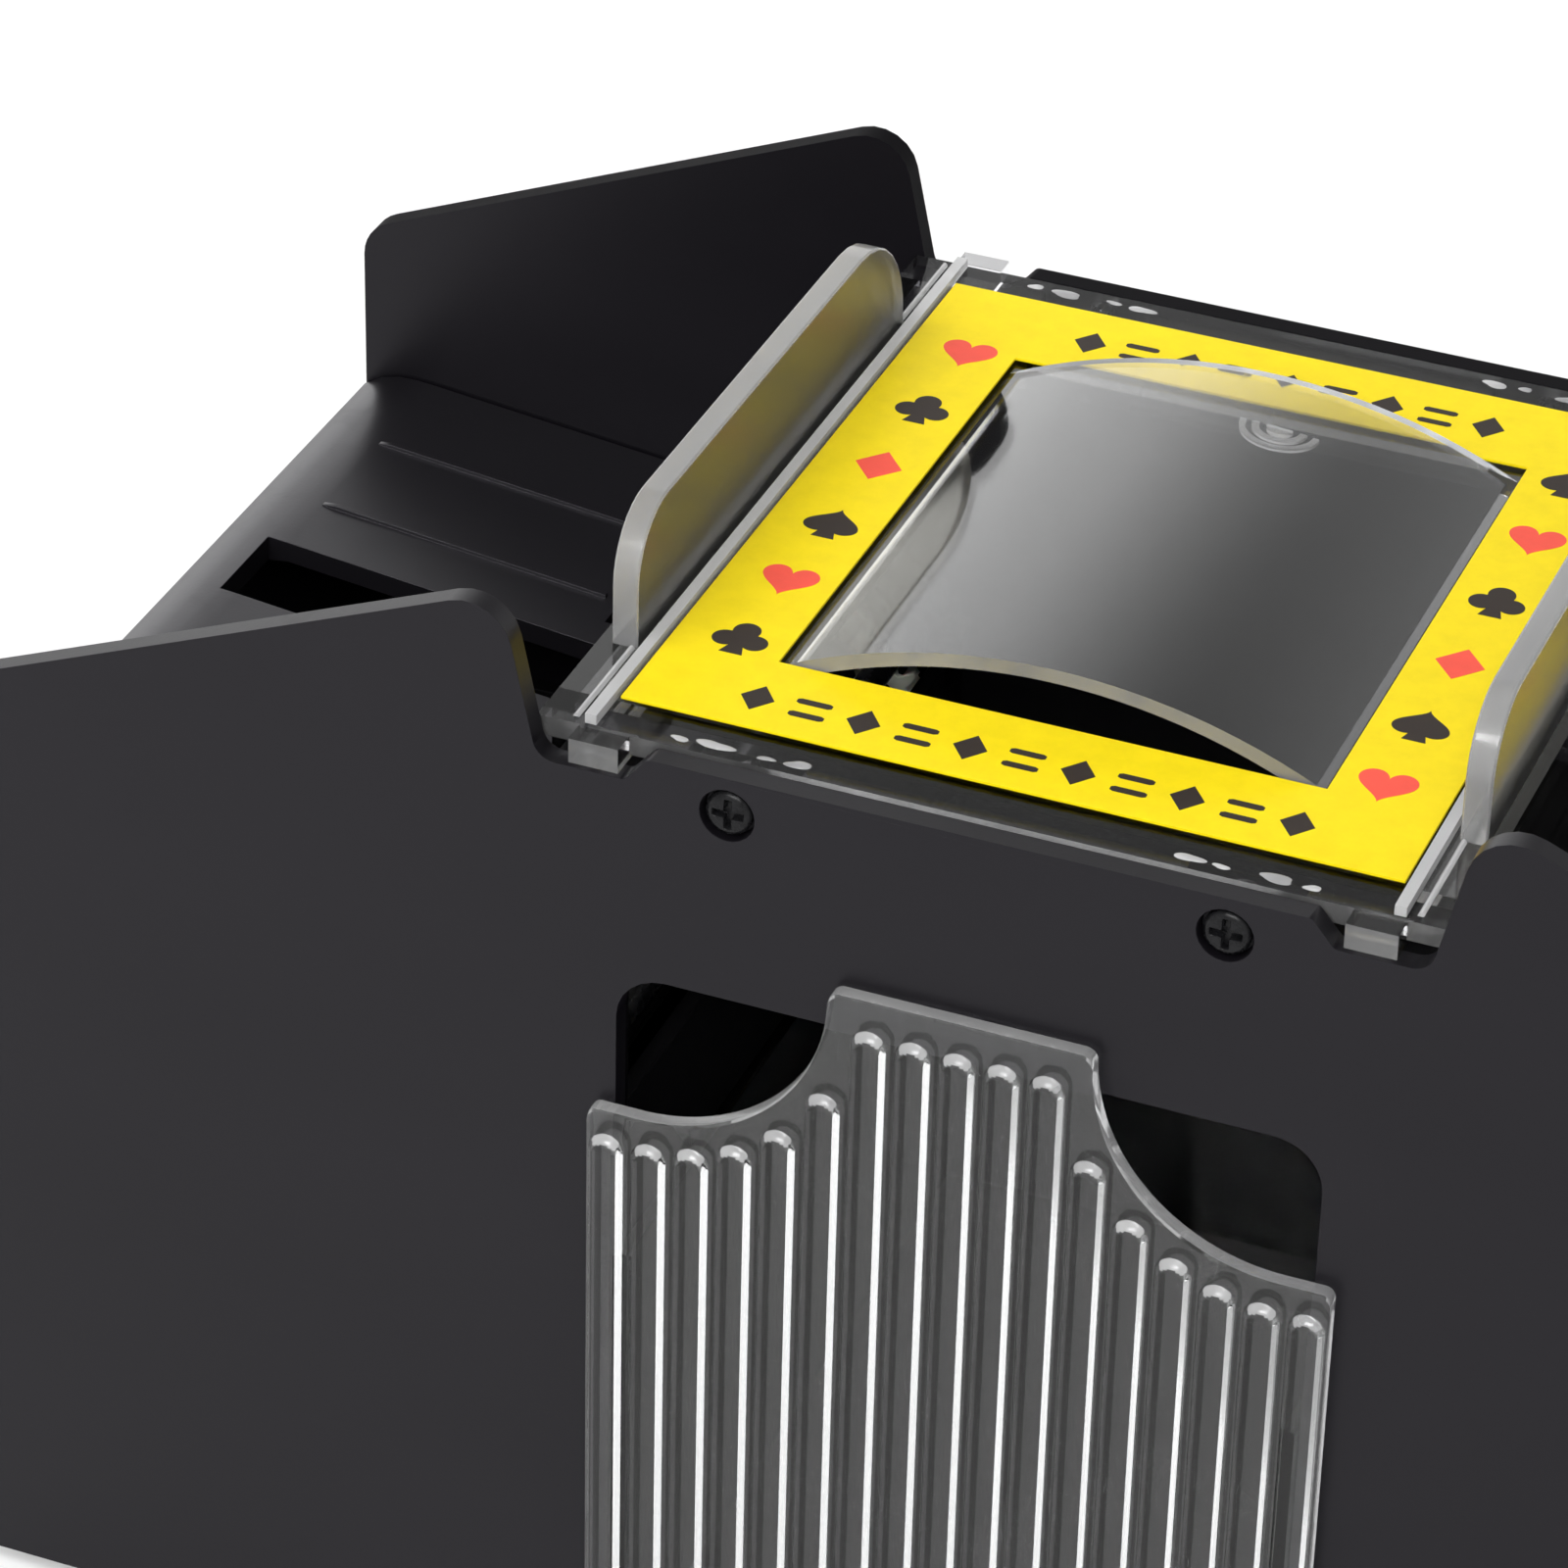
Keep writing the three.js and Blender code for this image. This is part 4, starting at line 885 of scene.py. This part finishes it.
def drawer_look(centre, normal):
    """The look of a face of the drawer, by where it is and where it faces: painted highlights on
    the edges of the front and on the upward faces of the rib ends.
    """
    depth = (centre.y - MID_Y) / MM
    within = FACE_Y + INSET < depth < BACK_Y - INSET
    if within and abs(normal.y) < EDGE_TILT and normal.z > UNDERSIDE:
        return CLEAR_EDGE_PAINTED_HIGHLIGHT
    if depth > BACK_Y + BEHIND:
        return CLEAR_FLANGE
    if depth < FACE_Y and normal.z > CREST_HIGHLIGHT_TILT and on_rib_end(centre):
        return CLEAR_CREST_PAINTED_HIGHLIGHT
    return MATERIALS["clear_plastic"]


drawer = replaced("drawer", combined("drawer_clear", drawer_front(), drawer_tray(), "UNION"),
                  suffix="clear_moulding")
# The rib ends are rounded in fine steps, so none of their edges is shaded sharp.
for edge in drawer.data.edges:
    a, b = (drawer.data.vertices[i].co for i in edge.vertices)
    if max(a.y, b.y) < MID_Y + (FACE_Y + INSET) * MM and on_rib_end((a + b) / 2):
        edge.use_edge_sharp = False
DRAWER_LOOKS = [MATERIALS["clear_plastic"], CLEAR_EDGE_PAINTED_HIGHLIGHT, CLEAR_FLANGE, CLEAR_CREST_PAINTED_HIGHLIGHT]
give_looks(drawer, DRAWER_LOOKS, drawer_look)

# ---- drive and small parts -------------------------------------------------

for node in NODES:
    if "screw" in node:
        moulded(node, width=0.06, segments=1, suffix="steel")
    elif node.endswith(("_gear", "pinion", "_feed_hub", "plunger")):
        moulded(node, width=0.1, segments=1)
    elif node.endswith("_exit_shaft"):
        moulded(node, width=0.2, segments=2, suffix="steel", slot="black_steel")
    elif node.endswith(("shaft", "_motor")):
        moulded(node, width=0.2, segments=2, suffix="steel")

TREAD = ((0.0, 0.0), (0.3, 0.0), (0.6, 0.0), (0.7, 1.0), (0.9, 1.0))    # share of a rib, depth
SHOULDER_IN, SHOULDER_DROP = 0.4, 0.35     # the middle of a softened shoulder, as shares of it


def treaded_tyre(node, bore, ribs, groove, chamfer):
    """A rubber tyre with grooves along its tread and softened shoulders."""
    lo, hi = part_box(node)
    middle, outer = between(lo, hi), (hi.z - lo.z) / 2 / MM

    def ring(y, drop, flat=None):
        points = []
        for i in range(ribs):
            for share, depth in TREAD:
                a = 2 * math.pi * (i + share) / ribs
                r = flat if flat else outer - drop - depth * groove
                points.append((middle.x + r * MM * math.cos(a), y,
                               middle.z + r * MM * math.sin(a)))
        return points

    bm = bmesh.new()
    step, drop = chamfer * MM, SHOULDER_DROP * chamfer
    rings = stacked(bm, [
        ring(lo.y, 0, bore), ring(lo.y, chamfer), ring(lo.y + SHOULDER_IN * step, drop),
        ring(lo.y + step, 0), ring(hi.y - step, 0), ring(hi.y - SHOULDER_IN * step, drop),
        ring(hi.y, chamfer), ring(hi.y, 0, bore)])
    for i in range(len(rings[0])):
        j = (i + 1) % len(rings[0])
        bm.faces.new((rings[-1][i], rings[-1][j], rings[0][j], rings[0][i]))
    replaced(node, finished_bm(bm), "rubber")


for side in ("left", "right"):
    for place in ("front", "rear"):
        treaded_tyre(f"{side}_feed_tyre_{place}", bore=10.1, ribs=40, groove=0.5, chamfer=0.5)
    treaded_tyre(f"{side}_exit_tyre", bore=1.8, ribs=24, groove=0.3, chamfer=0.4)


# Rubber feet: a soft outer edge and a shallow hollow underneath. Radius and height of each ring.
FOOT_PROFILE = [(5.0, 2.0), (5.0, 0.75), (4.92, 0.42), (4.7, 0.15), (4.35, 0.0), (3.2, 0.0),
                (2.95, 0.08), (2.8, 0.35), (0.6, 0.4)]
for node in [n for n in NODES if n.startswith("foot_")]:
    foot = between(*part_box(node))
    bm = bmesh.new()
    capped(bm, [[(foot.x + u * MM, foot.y + v * MM, height * MM) for u, v in circle(radius, 40)]
                for radius, height in FOOT_PROFILE])
    replaced(node, finished_bm(bm), "rubber")


# Battery contacts: plates that link the cells in series, with coil springs and domed nubs.
CELL_X, CELL_PITCH, CELL_Z, CELL_COUNT = -92.125, 14.75, 12.6, 4
PLATE, PLATE_SUNK, PLATE_HALF_X, PLATE_HALF_Z, PLATE_CORNER = 0.8, 0.3, 5.6, 6.6, 1.2
WIRE, SPRING_TURNS, SPRING_LENGTH, SPRING_FOOT, SPRING_TAPER = 0.34, 4.5, 4.6, 3.6, 1.3
SEAT_TURNS, SEAT_RISE = 0.8, 0.2           # the spring's first turn lies nearly flat
TURN_STEPS, WIRE_STEPS, NUB_STEPS = 20, 8, 24
NUB_PROFILE = ((2.8, -0.1), (2.75, 0.15), (2.4, 0.5), (1.7, 0.78), (0.7, 0.9))


def tube(bm, path, radius):
    """A closed round wire along a path of points."""
    rings = []
    for k, point in enumerate(path):
        ahead = path[min(k + 1, len(path) - 1)] - path[max(k - 1, 0)]
        across = ahead.cross(Vector((0, 1, 0))).normalized()
        over = ahead.cross(across).normalized()
        rings.append([point + u * across + v * over for u, v in circle(radius, WIRE_STEPS)])
    capped(bm, rings)


def spring_path():
    """Points of a coil that narrows towards its tip: two sideways offsets and the rise."""
    count = round(SPRING_TURNS * TURN_STEPS)
    for k in range(count + 1):
        t = k / count
        a, r = 2 * math.pi * SPRING_TURNS * t, SPRING_FOOT - SPRING_TAPER * t
        rise = (min(t * SPRING_TURNS / SEAT_TURNS, 1.0) * SEAT_RISE
                + t * (SPRING_LENGTH - SEAT_RISE))
        yield r * math.cos(a), r * math.sin(a), rise


def contact(node, inward, groups):
    """Contact plates on one wall of the battery box; inward is +1 where they face the rear."""
    lo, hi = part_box(node)
    wall = lo.y if inward > 0 else hi.y

    def at(x, z, rise):
        return Vector((x * MM, wall + inward * rise * MM, (CELL_Z + z) * MM))

    bm = bmesh.new()
    for group in groups:
        first, last = (CELL_X + CELL_PITCH * i for i in (group[0], group[-1]))
        outline = rounded_rectangle((last - first) / 2 + PLATE_HALF_X, PLATE_HALF_Z, PLATE_CORNER)
        prism(bm, outline, lambda u, v, end: at(
            (first + last) / 2 + u, v, PLATE if end else PLATE_SUNK))
    for i in range(CELL_COUNT):
        x = CELL_X + CELL_PITCH * i
        if (i % 2 == 0) == (inward < 0):
            tube(bm, [at(x + u, v, PLATE + rise) for u, v, rise in spring_path()], WIRE * MM)
        else:
            capped(bm, [[at(x + u, v, PLATE + rise) for u, v in circle(r, NUB_STEPS)]
                        for r, rise in NUB_PROFILE])
    replaced(node, finished_bm(bm), "sprung")


contact("battery_contact_front", 1, ((0, 1), (2, 3)))
contact("battery_contact_rear", -1, ((0,), (1, 2), (3,)))

# A raised arrow under the battery door, beside the finger grips.
ARROW = [(-4.6, 0.0), (0.0, 4.2), (0.0, 1.5), (4.6, 1.5), (4.6, -1.5), (0.0, -1.5), (0.0, -4.2)]
ARROW_X, ARROW_ROUND, ARROW_DEPTHS = 25.0, 0.15, (-0.4, 0.1)     # from the end of the door
door_lo, door_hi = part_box("battery_door")
arrow = bmesh.new()
prism(arrow, ARROW, lambda u, v, end: (
    door_lo.x + (ARROW_X + u) * MM, between(door_lo, door_hi).y + v * MM,
    door_lo.z + ARROW_DEPTHS[end] * MM))
new_piece("battery_door_arrow", finished_bm(arrow, ARROW_ROUND), BODY_OF["battery_door"],
          MATERIALS["black_plastic"], "black_plastic")

TAB_SHOULDER, TAB_CLIP = 0.8, 0.7          # the clipped corners at the tip of a solder tab
TAB_WIDE, TAB_THIN = 1.3, 0.3


def tab(bm, x, y0, y1, z, half_x, half_z):
    """A flat solder tab that points along y, with clipped corners."""
    flat = half_z < half_x
    wide, thin = (half_x, half_z) if flat else (half_z, half_x)
    shoulder = y1 - math.copysign(TAB_SHOULDER, y1 - y0)
    outline = [(-wide, y0), (-wide, shoulder), (TAB_CLIP - wide, y1), (wide - TAB_CLIP, y1),
               (wide, shoulder), (wide, y0)]

    def corner(u, v, end):
        side = thin if end else -thin
        across, up = (u, side) if flat else (side, u)
        return (x + across) * MM, v * MM, (z + up) * MM

    prism(bm, outline, corner)


# Motor end bells with their terminals, and the terminals of the switch.
BELL_HALF_X, BELL_HALF_Z, BELL_CORNER, BELL_ROUND = 10.6, 8.6, 5.0, 0.3
BOSS, BELL_DEPTHS = 2.0, (-1.1, 0.1)       # the motor's rear boss; the bell's ends beside its face
MOTOR_TAB_X, MOTOR_TAB_ROOT, MOTOR_TAB_TIP = 7.4, 0.4, 4.0
SWITCH_TABS, SWITCH_TAB_DROP, SWITCH_TAB_ROOT, SWITCH_TAB_TIP = (-5.2, 0.0, 5.2), 6.0, 0.4, 4.6
SWITCH_TAB_WIDE = 1.4
for side in ("left", "right"):
    body = BODY_OF[f"{side}_motor"]
    motor_lo, motor_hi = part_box(f"{side}_motor")
    motor, rear = between(motor_lo, motor_hi) / MM, motor_lo.y / MM + BOSS
    bell = bmesh.new()
    outline = rounded_rectangle(BELL_HALF_X, BELL_HALF_Z, BELL_CORNER, 8)
    prism(bell, outline, lambda u, v, end: (
        (motor.x + u) * MM, (rear + BELL_DEPTHS[end]) * MM, (motor.z + v) * MM))
    new_piece(f"{side}_motor_end_bell", finished_bm(bell, BELL_ROUND), body,
              MATERIALS["frame_plastic"], "frame_plastic")
    tabs, face = bmesh.new(), rear + BELL_DEPTHS[0]
    for sx in (-1, 1):
        tab(tabs, motor.x + MOTOR_TAB_X * sx, face + MOTOR_TAB_ROOT, face - MOTOR_TAB_TIP, motor.z,
            TAB_THIN, TAB_WIDE)
    new_piece(f"{side}_motor_terminals", finished_bm(tabs), body, TINNED_BRASS, "steel")
switch_lo, switch_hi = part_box("switch_body")
switch_x, top, face = between(switch_lo, switch_hi).x / MM, switch_hi.z / MM, switch_hi.y / MM
tabs = bmesh.new()
for x in SWITCH_TABS:
    tab(tabs, switch_x + x, face - SWITCH_TAB_ROOT, face + SWITCH_TAB_TIP, top - SWITCH_TAB_DROP,
        SWITCH_TAB_WIDE, TAB_THIN)
new_piece("switch_terminals", finished_bm(tabs), BODY_OF["switch_body"], TINNED_BRASS, "steel")

# ---- studio ----------------------------------------------------------------

# The camera that the photo was taken with: its place, solved in millimetres from the middle of
# the label and the ground, and the height that the label had in that solution.
SOLVED_LABEL = 115.3
CAMERA_AT = Vector((157.64, -498.89, 428.34 - SOLVED_LABEL)) * MM + Vector((0, MID_Y, DECK))
AZIMUTH, ELEVATION, ROLL = math.radians(21.36), math.radians(32.99), math.radians(1.37)
SENSOR, FOCAL, NEAREST, FARTHEST = 36.0, 150.06, 0.02, 20.0
back = Vector((math.sin(AZIMUTH) * math.cos(ELEVATION), -math.cos(AZIMUTH) * math.cos(ELEVATION),
               math.sin(ELEVATION)))
level = Vector((math.cos(AZIMUTH), math.sin(AZIMUTH), 0))
upright = level.cross(-back)
right = math.cos(ROLL) * level + math.sin(ROLL) * upright
up = -math.sin(ROLL) * level + math.cos(ROLL) * upright
lens = bpy.data.cameras.new("camera")
lens.sensor_width, lens.lens = SENSOR, FOCAL
lens.clip_start, lens.clip_end = NEAREST, FARTHEST
camera = linked("camera", lens)
camera.matrix_world = Matrix.Translation(CAMERA_AT) @ Matrix(
    (right, up, back)).transposed().to_4x4()
bpy.context.scene.camera = camera

LAMP_AIM = Vector((0, MID_Y, 0.06))


def softbox(name, at, width, height, power):
    """A soft lamp aimed at the machine, which glossy and clear surfaces don't show."""
    light = bpy.data.lights.new(name, "AREA")
    light.shape = "RECTANGLE"
    light.size, light.size_y = width, height
    light.energy = power
    obj = linked(name, light)
    obj.location = at
    obj.rotation_mode = "QUATERNION"
    obj.rotation_quaternion = (LAMP_AIM - Vector(at)).to_track_quat("-Z", "Y")
    obj.visible_glossy = False
    obj.visible_transmission = False


softbox("key", (-0.7, -0.5, 1.2), width=0.9, height=0.7, power=8.0)
softbox("fill", (0.9, -0.9, 0.8), width=0.8, height=0.8, power=3.0)

# The walls: the heights between which they dim, and their strength at both. Each card: where it
# is, how the offset from there is stretched, the offsets between which it fades, its strength.
WALLS = (0.38, 0.7, 1.0, 0.27)
CARDS = (((-0.62, 0.72, 0.31), (1.0, 1.0, 1.0), 0.25, 0.72, 0.65),
         ((0.05, -0.76, 0.62), (0.25, 1.0, 1.0), 0.09, 0.12, 16.0))


def studio_world():
    """Pale walls that darken upwards, a card low at the rear left, and one high in front."""
    world = bpy.data.worlds.new("studio")
    world.use_nodes = True
    tree = world.node_tree
    tree.nodes.clear()

    def fade(source, from_low, from_high, low, high):
        made = tree.nodes.new("ShaderNodeMapRange")
        made.interpolation_type = "SMOOTHSTEP"
        for key, value in (("From Min", from_low), ("From Max", from_high), ("To Min", low),
                           ("To Max", high)):
            made.inputs[key].default_value = value
        tree.links.new(source, made.inputs["Value"])
        return made.outputs["Result"]

    def vector_math(operation, source, value=None):
        made = tree.nodes.new("ShaderNodeVectorMath")
        made.operation = operation
        tree.links.new(source, made.inputs[0])
        if value is not None:
            made.inputs[1].default_value = value
        return made.outputs["Value" if operation == "LENGTH" else "Vector"]

    direction = tree.nodes.new("ShaderNodeTexCoord").outputs["Generated"]
    split = tree.nodes.new("ShaderNodeSeparateXYZ")
    tree.links.new(direction, split.inputs[0])
    total = fade(split.outputs["Z"], *WALLS)
    for aim, stretch, inner, outer, strength in CARDS:
        offset = vector_math("SUBTRACT", direction, Vector(aim).normalized())
        reach = vector_math("LENGTH", vector_math("MULTIPLY", offset, stretch))
        both = tree.nodes.new("ShaderNodeMath")
        tree.links.new(total, both.inputs[0])
        tree.links.new(fade(reach, inner, outer, strength, 0.0), both.inputs[1])
        total = both.outputs[0]
    background = tree.nodes.new("ShaderNodeBackground")
    background.inputs["Color"].default_value = (1.0, 1.0, 1.0, 1.0)
    tree.links.new(total, background.inputs["Strength"])
    out = tree.nodes.new("ShaderNodeOutputWorld")
    tree.links.new(background.outputs[0], out.inputs[0])
    bpy.context.scene.world = world


studio_world()

FLOOR_HALF, FLOOR_DROP = 6.0, 0.0003       # the floor lies just under the feet
paper = Shader("paper")
paper.colour(paper.ramp(paper.noise(40.0, detail=4.0), [(0.3, 0.91), (0.7, 0.93)]))
paper.set(Roughness=0.85, Specular_IOR_Level=0.1)
floor_mesh = bpy.data.meshes.new("floor")
floor_mesh.from_pydata([(FLOOR_HALF * x, FLOOR_HALF * y, 0)
                        for x, y in ((-1, -1), (1, -1), (1, 1), (-1, 1))], [], [(0, 1, 2, 3)])
floor_mesh.materials.append(paper.material)
floor = linked("floor", floor_mesh)
floor.location.z = -FLOOR_DROP

bpy.context.scene.view_settings.view_transform = "Standard"
